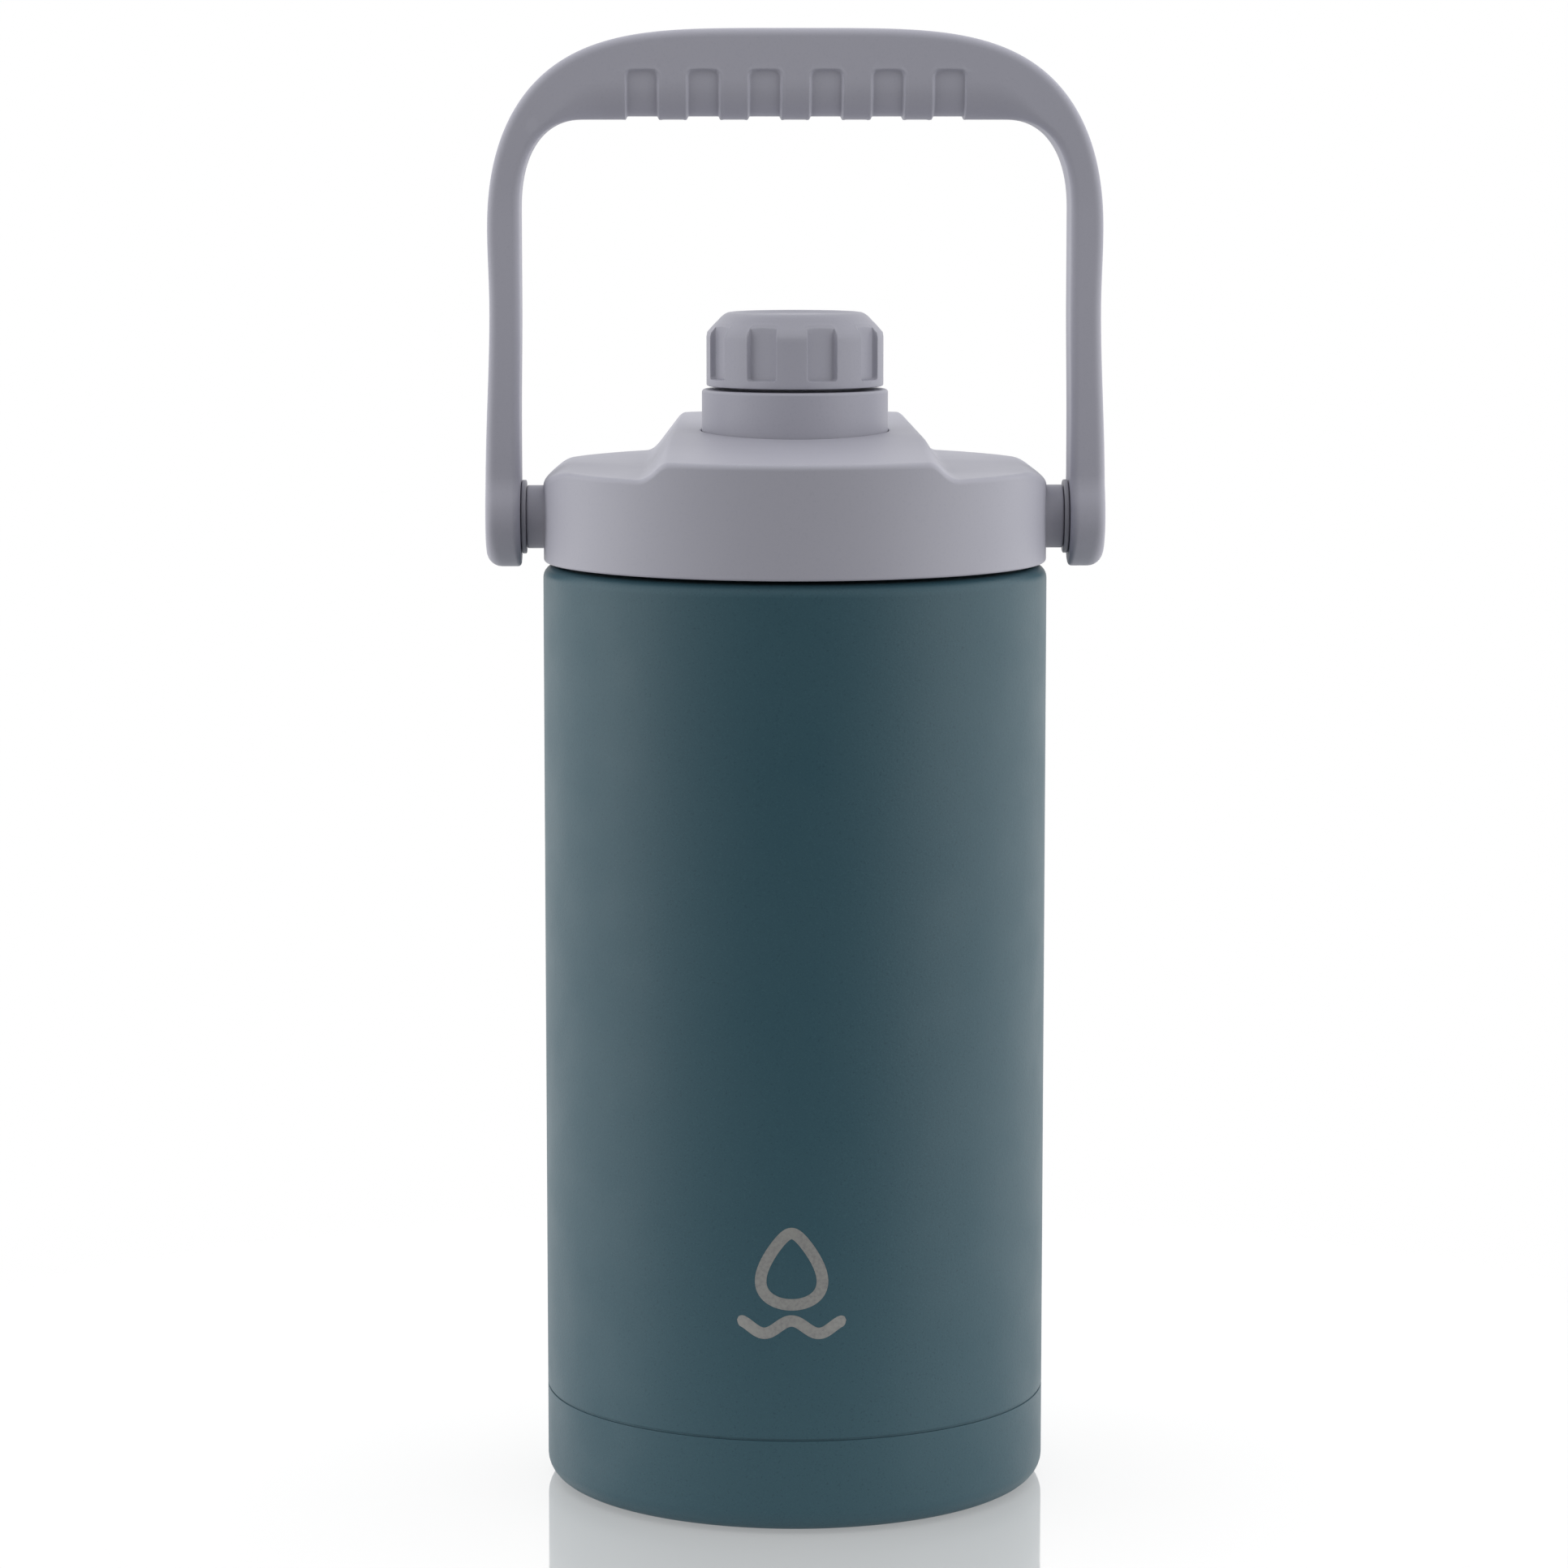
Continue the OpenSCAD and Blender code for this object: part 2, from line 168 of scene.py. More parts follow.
# handle
PIVOT_Z = (box_mm("pivot_screw_left")[0].z + box_mm("pivot_screw_left")[1].z) / 2
HUB_OUT = box_mm("carry_handle")[1].x
HUB_R = PIVOT_Z - box_mm("carry_handle")[0].z
GRIP_TOP = box_mm("carry_handle")[1].z
GRIP_UNDER = 326
GRIP_DEPTH = box_mm("carry_handle")[1].y
ARM_DEPTH = 9
ARM_IN = 65.1
ARM_OUT = 72.1
INNER_SIDE = 64.8
OUTER_SIDE = 72.5
OUTER_FOOT = 300
INNER_FOOT = 304.5
INNER_CORNER_X = 50
CORNER_HUB = (40, 303)
# powers of the outlines: the outer one across and up, and the gap's both ways
ACROSS_POWER = 4.1
UP_POWER = 2.2
GAP_POWER = 2.35
# heights above the pivot between which the arm's faces leave the hub
OUTER_SWELL = (6, 50)
INNER_SWELL = (20, 52)
# rounded edges of the sections; the grip's under edge is given in depth and in height
EDGE_ROUND = 2.0
HUB_EDGE_ROUND = 3.6
ARM_UNDER_ROUND = 1.9
HUB_UNDER_ROUND = 0.8
GRIP_UNDER_ROUND = (8.0, 8.5)
# the gap's outline goes from the arm's under edge to the grip's over this run across
BULK_FROM = 58
BULK_RUN = 14
# pivots
BOSS_FOOT = 56.5
BOSS_BORE = 4.1
WASHER_BORE = 4.3
BOSS_R = 7.5
BOSS_OUT = 63.8
WASHER_R = 8.75
HEAD_SEAT = 70
BUSH_R = 5.5
POCKET_R = 7
RECESSES = 6
RECESS_PITCH = 14.4
RECESS_HALF = 3.9
RECESS_TOP = 337.6
RECESS_DEEP = 0.75
RECESS_CORNER = 1.8
RECESS_SPOTS = [(i - (RECESSES - 1) / 2) * RECESS_PITCH for i in range(RECESSES)]

SIDES = ((-1, "left"), (1, "right"))

# segments in a full turn
ROUND = 256
BODY_ROUND = 288
SPOUT_ROUND = 192
CAP_ROUND = 160
PIVOT_ROUND = 96
LID_ROUND = 640

SHARP = math.radians(38)


# ---------------------------------------------------------------- shape helpers


def smoothstep(value):
    value = min(1.0, max(0.0, value))
    return value * value * (3 - 2 * value)


def mix(a, b, share):
    return a + (b - a) * share


def quarter(steps):
    """Cosine and sine at even steps through a quarter turn."""
    angles = [math.pi / 2 * k / steps for k in range(steps + 1)]
    return [(math.cos(a), math.sin(a)) for a in angles]


def soft_min(a, b, width):
    """The smaller of two heights, with the crease between them rounded over about that width."""
    near = max(width - abs(a - b), 0) / width
    return min(a, b) - near * near * width / 4


def soft_max(a, b, width):
    return -soft_min(-a, -b, width)


def stations(low, high, step, marks=(), offsets=(0,)):
    """Even places from low to high, with closer ones at the offsets from each mark."""
    count = max(1, round((high - low) / step))
    places = [mix(low, high, i / count) for i in range(count + 1)]
    fine = [m + o for m in marks for o in offsets if low < m + o < high]
    reach = max(abs(o) for o in offsets)
    kept = [p for p in places[1:-1] if all(abs(p - m) > reach + step / 4 for m in marks)]
    return sorted({round(p, 5) for p in [low, high, *kept, *fine]})


def rounded(corners, steps=6):
    """A closed outline through (r, z, radius) corners, each one rounded to its radius."""
    outline = []
    for i, (r, z, radius) in enumerate(corners):
        here = Vector((r, z))
        if radius == 0:
            outline.append((r, z))
            continue
        back = (Vector(corners[i - 1][:2]) - here).normalized()
        onward = (Vector(corners[(i + 1) % len(corners)][:2]) - here).normalized()
        half = back.angle(onward) / 2
        centre = here + (back + onward).normalized() * (radius / math.sin(half))
        start = here + back * (radius / math.tan(half)) - centre
        end = here + onward * (radius / math.tan(half)) - centre
        turn = math.copysign(math.pi - 2 * half, start.x * end.y - start.y * end.x)
        for k in range(steps + 1):
            c, s = math.cos(turn * k / steps), math.sin(turn * k / steps)
            outline.append((centre.x + start.x * c - start.y * s, centre.y + start.x * s + start.y * c))
    return outline


def wrap(loops, closed=True):
    """Points and faces of a skin over loops of points, joined in order; an open run is capped at its ends."""
    size = len(loops[0])
    points = [p for loop in loops for p in loop]
    faces = []
    for i in range(len(loops) if closed else len(loops) - 1):
        a = i * size
        b = (i + 1) % len(loops) * size
        for j in range(size):
            k = (j + 1) % size
            faces.append((a + j, b + j, b + k, a + k))
    if not closed:
        faces.append(tuple(range(size)))
        faces.append(tuple(range(len(points) - size, len(points))))
    return points, faces


def spin(outline, segments=ROUND):
    """A closed (r, z) outline turned about the Z axis."""
    loops = []
    for i in range(segments):
        a = 2 * math.pi * i / segments
        loops.append([(r * math.cos(a), r * math.sin(a), z) for r, z in outline])
    return wrap(loops)


def spin_on_pivot(outline, side):
    """A closed (r, x) outline turned about the handle's pivot axis, on the right (1) or left (-1)."""
    loops = []
    for i in range(PIVOT_ROUND):
        a = 2 * math.pi * i / PIVOT_ROUND
        loops.append([(side * x, r * math.cos(a), PIVOT_Z + r * math.sin(a)) for r, x in outline])
    return wrap(loops)


def thread_loops(root, crest, z, lead, turn, first):
    """One helical ridge that rises out of the wall at one end and sinks back at the other."""
    half = 0.13 * lead
    loops = []
    steps = round(turn / THREAD_STEP)
    for i in range(steps + 1):
        a = turn * i / steps
        share = max(0.02, smoothstep(min(a, turn - a) / THREAD_TAPER))
        tip = mix(root, crest, share)
        near = mix(root, tip, 0.85)
        rise = z + lead * a / 360
        section = [(root, half), (near, 0.55 * half), (tip, 0.38 * half)]
        section += [(tip, -0.38 * half), (near, -0.55 * half), (root, -half)]
        c, s = math.cos(math.radians(a + first)), math.sin(math.radians(a + first))
        loops.append([(r * c, r * s, rise + dz) for r, dz in section])
    return loops


def even_normals(piece):
    modifier = piece.modifiers.new("even_normals", "WEIGHTED_NORMAL")
    modifier.keep_sharp = True


def make_piece(name, shape, body, material, replaced=(), even=True):
    """A shaded mesh piece that rides on a body. Its shape is (points in mm, faces)."""
    points, faces = shape
    mesh = bpy.data.meshes.new(name)
    mesh.from_pydata([[c * MM for c in p] for p in points], [], faces)
    work = bmesh.new()
    work.from_mesh(mesh)
    bmesh.ops.remove_doubles(work, verts=work.verts, dist=2e-7)
    bmesh.ops.dissolve_degenerate(work, dist=1e-8, edges=work.edges)
    bmesh.ops.recalc_face_normals(work, faces=work.faces)
    work.to_mesh(mesh)
    work.free()
    mesh.shade_smooth()
    mesh.set_sharp_from_angle(angle=SHARP)
    piece = bpy.data.objects.new(name, mesh)
    bpy.context.scene.collection.objects.link(piece)
    mesh.materials.append(material)
    if even:
        even_normals(piece)
    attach(piece, body)
    if replaced:
        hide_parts(*replaced)
    return piece


def join_shapes(*shapes):
    """Several (points, faces) shapes as one."""
    points, faces = [], []
    for more_points, more_faces in shapes:
        start = len(points)
        points += more_points
        faces += [tuple(start + i for i in face) for face in more_faces]
    return points, faces


# ---------------------------------------------------------------- materials


class Surface:
    """A node material built round one Principled shader, in the piece's own coordinates."""

    def __init__(self, name, colour, roughness, metallic=0.0):
        self.material = bpy.data.materials.new(name)
        self.material.use_nodes = True
        self.tree = self.material.node_tree
        self.shader = next(n for n in self.tree.nodes if n.type == "BSDF_PRINCIPLED")
        self.set("Base Color", (*colour, 1))
        self.set("Roughness", roughness)
        self.set("Metallic", metallic)
        self.colour = colour
        self.place = self.node("ShaderNodeTexCoord").outputs["Object"]
        self.height = None

    def node(self, kind, **settings):
        made = self.tree.nodes.new(kind)
        for key, value in settings.items():
            setattr(made, key, value)
        return made

    def link(self, source, target):
        self.tree.links.new(source, target)

    def set(self, socket, value):
        self.shader.inputs[socket].default_value = value

    def stretched(self, scale):
        """The piece's coordinates, stretched."""
        mapping = self.node("ShaderNodeMapping")
        mapping.inputs["Scale"].default_value = scale
        self.link(self.place, mapping.inputs["Vector"])
        return mapping.outputs["Vector"]

    def noise(self, scale, detail=3.0, rough=0.5, place=None):
        made = self.node("ShaderNodeTexNoise")
        made.inputs["Scale"].default_value = scale
        made.inputs["Detail"].default_value = detail
        made.inputs["Roughness"].default_value = rough
        self.link(place or self.place, made.inputs["Vector"])
        return made.outputs["Fac"]

    def cells(self, scale):
        made = self.node("ShaderNodeTexVoronoi")
        made.inputs["Scale"].default_value = scale
        self.link(self.place, made.inputs["Vector"])
        return made.outputs["Distance"]

    def ramp(self, source, low, high, from_low=0.0, from_high=1.0):
        """Source stretched onto low to high."""
        made = self.node("ShaderNodeMapRange")
        made.inputs["From Min"].default_value = from_low
        made.inputs["From Max"].default_value = from_high
        made.inputs["To Min"].default_value = low
        made.inputs["To Max"].default_value = high
        self.link(source, made.inputs["Value"])
        return made.outputs["Result"]

    def rings(self, scale):
        """Fine lines that run round the Z axis, as turning and polishing leave."""
        return self.noise(scale, 4.0, 0.6, self.stretched((0.02, 0.02, 1.0)))

    def tint(self, source, shade, low=0.35, high=0.65):
        """Mixes another shade of the colour in where source is high."""
        blend = self.node("ShaderNodeMix", data_type="RGBA")
        previous = self.shader.inputs["Base Color"]
        if previous.is_linked:
            self.link(previous.links[0].from_socket, blend.inputs[6])
        else:
            blend.inputs[6].default_value = previous.default_value
        blend.inputs[7].default_value = (*[min(1.0, c * s) for c, s in zip(self.colour, shade)], 1)
        self.link(self.ramp(source, 0, 1, low, high), blend.inputs[0])
        self.link(blend.outputs[2], previous)
        return self

    def vary_roughness(self, source, low, high):
        self.link(self.ramp(source, low, high, 0.3, 0.7), self.shader.inputs["Roughness"])
        return self

    def bump(self, source, depth, strength=1.0):
        """Adds relief; depth is in millimetres."""
        made = self.node("ShaderNodeBump")
        made.inputs["Strength"].default_value = strength
        made.inputs["Distance"].default_value = depth * MM
        self.link(source, made.inputs["Height"])
        if self.height is not None:
            self.link(self.height, made.inputs["Normal"])
        self.height = made.outputs["Normal"]
        self.link(self.height, self.shader.inputs["Normal"])
        return self

    def rubbed_and_highlit_edges(self, shade, low=0.53, high=0.62):
        """Lightens or darkens the outer edges: partly rubbing where hands and moulds polish them, partly a
        painted highlight along the rounded edges.
        """
        edges = self.node("ShaderNodeNewGeometry").outputs["Pointiness"]
        return self.tint(edges, shade, low, high)


def powder_coat():
    paint = Surface("powder_coat", (0.0310, 0.084, 0.111), 0.46)
    paint.set("Specular IOR Level", 0.38)
    paint.tint(paint.noise(9, 2), (1.10, 1.06, 1.04), 0.40, 0.70)
    paint.tint(paint.noise(2600, 2), (1.22, 1.18, 1.15), 0.52, 0.75)
    paint.tint(paint.noise(1900, 1), (0.80, 0.82, 0.84), 0.60, 0.78)
    paint.vary_roughness(paint.noise(60, 4), 0.42, 0.50)
    paint.bump(paint.noise(900, 3), 0.020)
    paint.bump(paint.cells(1500), 0.012)
    # lighter outer edges: partly rubbing, partly a painted highlight
    paint.rubbed_and_highlit_edges((1.35, 1.28, 1.22), 0.55, 0.68)
    return paint.material


def moulded_plastic(name, colour, roughness=0.50, grain=0.012):
    plastic = Surface(name, colour, roughness)
    plastic.set("Specular IOR Level", 0.40)
    plastic.tint(plastic.noise(14, 3), (1.035, 1.03, 1.02), 0.35, 0.70)
    plastic.tint(plastic.noise(1800, 2), (0.96, 0.96, 0.965), 0.55, 0.80)
    plastic.vary_roughness(plastic.noise(45, 4), roughness - 0.04, roughness + 0.05)
    plastic.bump(plastic.noise(1400, 3), grain)
    plastic.bump(plastic.noise(70, 2), 0.03, 0.5)
    # lighter outer edges: partly rubbing, partly a painted highlight
    plastic.rubbed_and_highlit_edges((1.07, 1.07, 1.06))
    return plastic.material


def polished_steel(name, colour, roughness, fine):
    steel = Surface(name, colour, roughness, 1.0)
    lines = steel.rings(fine)
    steel.tint(lines, (0.88, 0.88, 0.89), 0.35, 0.70)
    steel.tint(steel.noise(25, 3), (0.95, 0.95, 0.96), 0.45, 0.75)
    steel.vary_roughness(lines, roughness - 0.06, roughness + 0.08)
    steel.bump(lines, 0.004)
    return steel.material


def laser_mark():
    mark = Surface("laser_marked_steel", (0.36, 0.36, 0.35), 0.44, 0.55)
    mark.tint(mark.noise(1300, 3), (0.78, 0.79, 0.80), 0.40, 0.70)
    mark.tint(mark.noise(120, 2), (1.10, 1.10, 1.08), 0.45, 0.75)
    mark.bump(mark.rings(9000), 0.004)
    return mark.material


def silicone_rubber():
    rubber = Surface("silicone_rubber", (0.78, 0.78, 0.74), 0.48)
    rubber.set("Subsurface Weight", 0.08)
    rubber.set("Subsurface Scale", 0.002)
    rubber.tint(rubber.noise(30, 3), (0.94, 0.94, 0.92), 0.4, 0.7)
    rubber.vary_roughness(rubber.noise(90, 3), 0.42, 0.56)
    rubber.bump(rubber.noise(800, 2), 0.010)
    return rubber.material


def washer_nylon():
    nylon = Surface("washer_nylon", (0.30, 0.30, 0.34), 0.44)
    nylon.tint(nylon.noise(60, 3), (1.25, 1.25, 1.22), 0.45, 0.75)
    nylon.vary_roughness(nylon.noise(300, 3), 0.36, 0.50)
    nylon.bump(nylon.noise(1500, 2), 0.008)
    return nylon.material


def insulating_foam():
    foam = Surface("insulating_foam", (0.74, 0.70, 0.58), 0.85)
    foam.tint(foam.cells(420), (0.78, 0.76, 0.70), 0.25, 0.75)
    foam.bump(foam.cells(420), 0.25)
    foam.bump(foam.noise(90, 3), 0.40)
    return foam.material


def knurled_brass():
    brass = Surface("knurled_brass", (0.72, 0.53, 0.22), 0.30, 1.0)
    brass.tint(brass.noise(160, 3), (0.82, 0.78, 0.72), 0.45, 0.75)
    brass.vary_roughness(brass.noise(400, 2), 0.24, 0.40)
    brass.bump(brass.cells(1300), 0.05)
    return brass.material


def dull_metal(name, colour, roughness, scale):
    """The sealing bead and the getter: rough, dark metal."""
    metal = Surface(name, colour, roughness, 0.6)
    metal.tint(metal.noise(scale, 4), (0.72, 0.72, 0.74), 0.40, 0.70)
    metal.bump(metal.noise(scale * 2, 3), 0.05)
    return metal.material


PAINT = powder_coat()
LID_PLASTIC = moulded_plastic("lid_plastic", (0.385, 0.385, 0.445))
HANDLE_PLASTIC = moulded_plastic("handle_plastic", (0.405, 0.405, 0.470), 0.52)
LINER_PLASTIC = moulded_plastic("liner_plastic", (0.66, 0.66, 0.68), 0.42, 0.006)
NECK_STEEL = polished_steel("neck_steel", (0.60, 0.60, 0.61), 0.28, 5200)
LINER_STEEL = polished_steel("liner_steel", (0.62, 0.62, 0.63), 0.30, 3600)
SCREW_STEEL = polished_steel("screw_steel", (0.56, 0.56, 0.57), 0.24, 7000)
MARK = laser_mark()
SILICONE = silicone_rubber()
NYLON = washer_nylon()
FOAM = insulating_foam()
BRASS = knurled_brass()
BEAD = dull_metal("seal_bead", (0.16, 0.15, 0.14), 0.55, 400)
GETTER = dull_metal("getter_metal", (0.22, 0.22, 0.23), 0.70, 900)


# ---------------------------------------------------------------- camera, light and floor

FOCUS = Vector((-0.0026, 0, 0.168))
CAMERA_DISTANCE = 1.2068
CAMERA_LENS = 115.5
CAMERA_TILT = math.radians(7.3)
CAMERA_TURN = math.radians(0.9)


def make_camera():
    data = bpy.data.cameras.new("camera")
    data.lens = CAMERA_LENS
    data.sensor_width = 36
    camera = bpy.data.objects.new("camera", data)
    bpy.context.scene.collection.objects.link(camera)
    level = math.cos(CAMERA_TILT)
    across, away = math.sin(CAMERA_TURN) * level, math.cos(CAMERA_TURN) * level
    back = Vector((-across, -away, math.sin(CAMERA_TILT)))
    camera.location = FOCUS + back * CAMERA_DISTANCE
    camera.rotation_euler = (math.pi / 2 - CAMERA_TILT, 0, -CAMERA_TURN)
    bpy.context.scene.camera = camera


def soft_box(name, place, aim, size, power, mirrored=True):
    data = bpy.data.lights.new(name, "AREA")
    data.shape = "RECTANGLE"
    data.size, data.size_y = size
    data.energy = power
    light = bpy.data.objects.new(name, data)
    bpy.context.scene.collection.objects.link(light)
    light.location = place
    light.rotation_euler = (Vector(aim) - Vector(place)).to_track_quat("-Z", "Y").to_euler()
    light.visible_camera = False
    light.visible_glossy = mirrored


# light from all round: the axis and sign it comes from, how tightly, and how strong it is
GLOW = 0.015
GLOWS = (
    ("X", 1, 2, 1.17), ("X", -1, 2, 1.17), ("X", 1, 4, 0.32),
    ("Y", 1, 1, 0.91), ("Y", -1, 2, 0.03),
    ("Z", 1, 1, 0.64))


def make_world():
    """White to the camera. All else is lit as in a white tent: bright sides, back and top, dark front."""
    world = bpy.data.worlds.new("studio")
    bpy.context.scene.world = world
    world.use_nodes = True
    tree = world.node_tree
    tree.nodes.clear()

    def calculate(kind, *values):
        made = tree.nodes.new("ShaderNodeMath")
        made.operation = kind
        for socket, value in zip(made.inputs, values):
            if isinstance(value, (int, float)):
                socket.default_value = value
            else:
                tree.links.new(value, socket)
        return made.outputs[0]

    axes = tree.nodes.new("ShaderNodeSeparateXYZ")
    tree.links.new(tree.nodes.new("ShaderNodeTexCoord").outputs["Generated"], axes.inputs[0])
    total = GLOW
    for axis, sign, power, gain in GLOWS:
        facing = calculate("MAXIMUM", calculate("MULTIPLY", axes.outputs[axis], sign), 0)
        total = calculate("ADD", total, calculate("MULTIPLY", calculate("POWER", facing, power), gain))
    seen = tree.nodes.new("ShaderNodeBackground")
    lit = tree.nodes.new("ShaderNodeBackground")
    for background in (seen, lit):
        background.inputs["Color"].default_value = (1, 1, 1, 1)
    tree.links.new(total, lit.inputs["Strength"])
    path = tree.nodes.new("ShaderNodeLightPath")
    blend = tree.nodes.new("ShaderNodeMixShader")
    out = tree.nodes.new("ShaderNodeOutputWorld")
    tree.links.new(path.outputs["Is Camera Ray"], blend.inputs[0])
    tree.links.new(lit.outputs[0], blend.inputs[1])
    tree.links.new(seen.outputs[0], blend.inputs[2])
    tree.links.new(blend.outputs[0], out.inputs["Surface"])


def make_floor():
    """A white glossy disc that fades out before its edge."""
    radius = 0.32
    rings = 24
    sides = 96
    points = [(0, 0, 0)]
    faces = []
    for k in range(1, rings + 1):
        for i in range(sides):
            a = 2 * math.pi * i / sides
            points.append((radius * k / rings * math.cos(a), radius * k / rings * math.sin(a), 0))
    for i in range(sides):
        j = (i + 1) % sides
        faces.append((0, 1 + i, 1 + j))
        for k in range(rings - 1):
            a, b = 1 + sides * k, 1 + sides * (k + 1)
            faces.append((a + i, b + i, b + j, a + j))
    mesh = bpy.data.meshes.new("studio_floor")
    mesh.from_pydata(points, [], faces)
    mesh.shade_smooth()
    floor = bpy.data.objects.new("studio_floor", mesh)
    floor.location.z = cad_box[0].z - 0.0003
    bpy.context.scene.collection.objects.link(floor)

    surface = Surface("studio_floor", (0.60, 0.60, 0.60), 0.05, 0.5)
    surface.set("Specular IOR Level", 0.50)
    surface.set("Emission Color", (1, 1, 1, 1))
    surface.set("Emission Strength", 0.28)
    surface.tint(surface.noise(6, 2), (1.02, 1.02, 1.02))
    surface.bump(surface.noise(40, 2), 0.02)
    length = surface.node("ShaderNodeVectorMath", operation="LENGTH")
    surface.link(surface.place, length.inputs[0])
    clear = surface.node("ShaderNodeBsdfTransparent")
    blend = surface.node("ShaderNodeMixShader")
    out = next(n for n in surface.tree.nodes if n.type == "OUTPUT_MATERIAL")
    fade = surface.ramp(length.outputs["Value"], 0, 1, radius * 0.45, radius * 0.95)
    surface.link(fade, blend.inputs[0])
    surface.link(surface.shader.outputs[0], blend.inputs[1])
    surface.link(clear.outputs[0], blend.inputs[2])
    surface.link(blend.outputs[0], out.inputs["Surface"])
    mesh.materials.append(surface.material)


# soft boxes: metres, and degrees round from the front to the right, with each side box's power in watts
BOX_AIM = (0, 0, 0.17)
SIDE_BOXES = (("left_box", -83, 2.0), ("right_box", 64, 1.28))
SIDE_BOX_DISTANCE = 1.1
SIDE_BOX_Z = 0.3
SIDE_BOX_SIZE = (0.6, 1.0)
TOP_BOX_PLACE = (0, -0.05, 1.3)
TOP_BOX_SIZE = (0.9, 0.9)
TOP_BOX_POWER = 2.6


def make_lights():
    """A soft box at each side, and one overhead that shiny surfaces do not mirror."""
    for name, azimuth, power in SIDE_BOXES:
        a = math.radians(azimuth)
        place = (SIDE_BOX_DISTANCE * math.sin(a), -SIDE_BOX_DISTANCE * math.cos(a), SIDE_BOX_Z)
        soft_box(name, place, BOX_AIM, SIDE_BOX_SIZE, power)
    soft_box("top_box", TOP_BOX_PLACE, BOX_AIM, TOP_BOX_SIZE, TOP_BOX_POWER, mirrored=False)


bpy.context.scene.view_settings.view_transform = "Standard"
make_camera()
make_world()
make_lights()
make_floor()


# ---------------------------------------------------------------- body


def body_shell():
    """The painted outer wall, from the groove above the base cup up to the foot of the neck."""
    low = CUP_TOP + SEAM
    groove_r, groove_z = PAINT_R - 0.3, CUP_TOP + 0.05
    inner = PAINT_R - SHELL_T
    collar, collar_in, collar_z = NECK_R + 0.02, NECK_R - 0.4, SHOULDER_Z + 2
    outline = rounded([
        (TUCK_R - SHELL_T, SHELL_FOOT, 0), (TUCK_R, SHELL_FOOT, 0), (TUCK_R, groove_z, 0),
        (groove_r, groove_z, 0), (groove_r, low, 0.1), (PAINT_R, low, 0.2),
        (PAINT_R, SHOULDER_Z, SHOULDER_CORNER), (collar, SHOULDER_Z, 0.6), (collar, collar_z, 0),
        (collar_in, collar_z, 0), (collar_in, SHOULDER_Z - SHELL_T, 0),
        (inner, SHOULDER_Z - SHELL_T, SHOULDER_CORNER - SHELL_T), (inner, low + SHELL_T, 0),
        (TUCK_R - SHELL_T, low + SHELL_T, 0)], 8)
    make_piece("body_shell", spin(outline, BODY_ROUND), "jug", PAINT, ["outer_shell"])


def neck_sleeve():
    """The bare steel neck, and the two ridges of its screw."""
    outline = rounded([
        (NECK_IN, SHOULDER_Z - 0.5, 0), (NECK_R, SHOULDER_Z - 0.5, 0), (NECK_R, RIM_Z - RIM_T, 0.2),
        (NECK_IN, RIM_Z - RIM_T, 0)])
    make_piece("neck_sleeve", spin(outline), "jug", NECK_STEEL)
    ridges = [
        wrap(thread_loops(NECK_R - 0.3, NECK_CREST, NECK_THREAD_Z, LID_LEAD, NECK_THREAD_TURN, first), False)
        for first in (0, 180)]
    make_piece("neck_thread", join_shapes(*ridges), "jug", NECK_STEEL)


def base_cup():
    inner = TUCK_R + 0.1
    floor = 1.0
    outline = rounded([
        (0, FOOT_RISE, 0), (FOOT_IN - 2, FOOT_RISE, 0.8), (FOOT_IN, 0, 0.8), (PAINT_R, 0, CUP_CORNER),
        (PAINT_R, CUP_TOP, 0.2), (inner, CUP_TOP, 0), (inner, floor, CUP_CORNER - 1),
        (FOOT_IN, floor, 0), (FOOT_IN - 2, FOOT_RISE + floor, 0), (0, FOOT_RISE + floor, 0)], 8)
    make_piece("base_cup_skin", spin(outline, BODY_ROUND), "jug", PAINT, ["base_cup"])


def inner_vessel():
    """The steel liner: pressed floor ring, straight wall, shoulder, neck and rolled rim."""
    inner = LINER_R - LINER_T
    neck_in = LINER_NECK_R - LINER_NECK_T
    under = LINER_FLOOR - LINER_T
    below = LINER_SHOULDER - LINER_T
    outline = rounded([
        (0, under, 0), (LINER_R, under, LINER_FLOOR_CORNER), (LINER_R, LINER_SHOULDER, LINER_SHOULDER_CORNER),
        (LINER_NECK_R, LINER_SHOULDER, 0.5), (LINER_NECK_R, RIM_Z - RIM_T, 0),
        (NECK_R, RIM_Z - RIM_T, 0.3), (NECK_R, RIM_Z, 0.55), (neck_in, RIM_Z, 0.55),
        (neck_in, below, 0.8), (inner, below, LINER_SHOULDER_CORNER - LINER_T),
        (inner, LINER_FLOOR, LINER_FLOOR_CORNER - LINER_T), (30, LINER_FLOOR, 1.5),
        (27, LINER_FLOOR + LINER_DISH, 1.5), (0, LINER_FLOOR + LINER_DISH, 0)], 8)
    make_piece("inner_vessel", spin(outline), "jug", LINER_STEEL, ["inner_liner"])


def stroke(path, half, closed):
    """A flat ribbon along (across, up) points, laid on the front of the body. An open one has round ends."""
    sunk, proud = PAINT_R - 0.06, BODY_R - 0.005
    count = len(path)
    lengths = [0.0]
    for a, b in zip(path, path[1:]):
        lengths.append(lengths[-1] + math.dist(a, b))
    loops = []
    for i, (u, v) in enumerate(path):
        before = path[i - 1] if closed or i > 0 else path[i]
        after = path[(i + 1) % count] if closed or i < count - 1 else path[i]
        along = Vector((after[0] - before[0], after[1] - before[1])).normalized()
        side = Vector((-along.y, along.x))
        width = half
        if not closed:
            end = min(lengths[i], lengths[-1] - lengths[i], half)
            width = math.sqrt(max(half * half - (half - end) ** 2, 0.0004))
        loop = []
        for sign, r in ((-1, sunk), (-1, proud), (1, proud), (1, sunk)):
            across = (u + side.x * width * sign) / PAINT_R
            loop.append((r * math.sin(across), -r * math.cos(across), v + side.y * width * sign))
        loops.append(loop)
    return wrap(loops, closed)


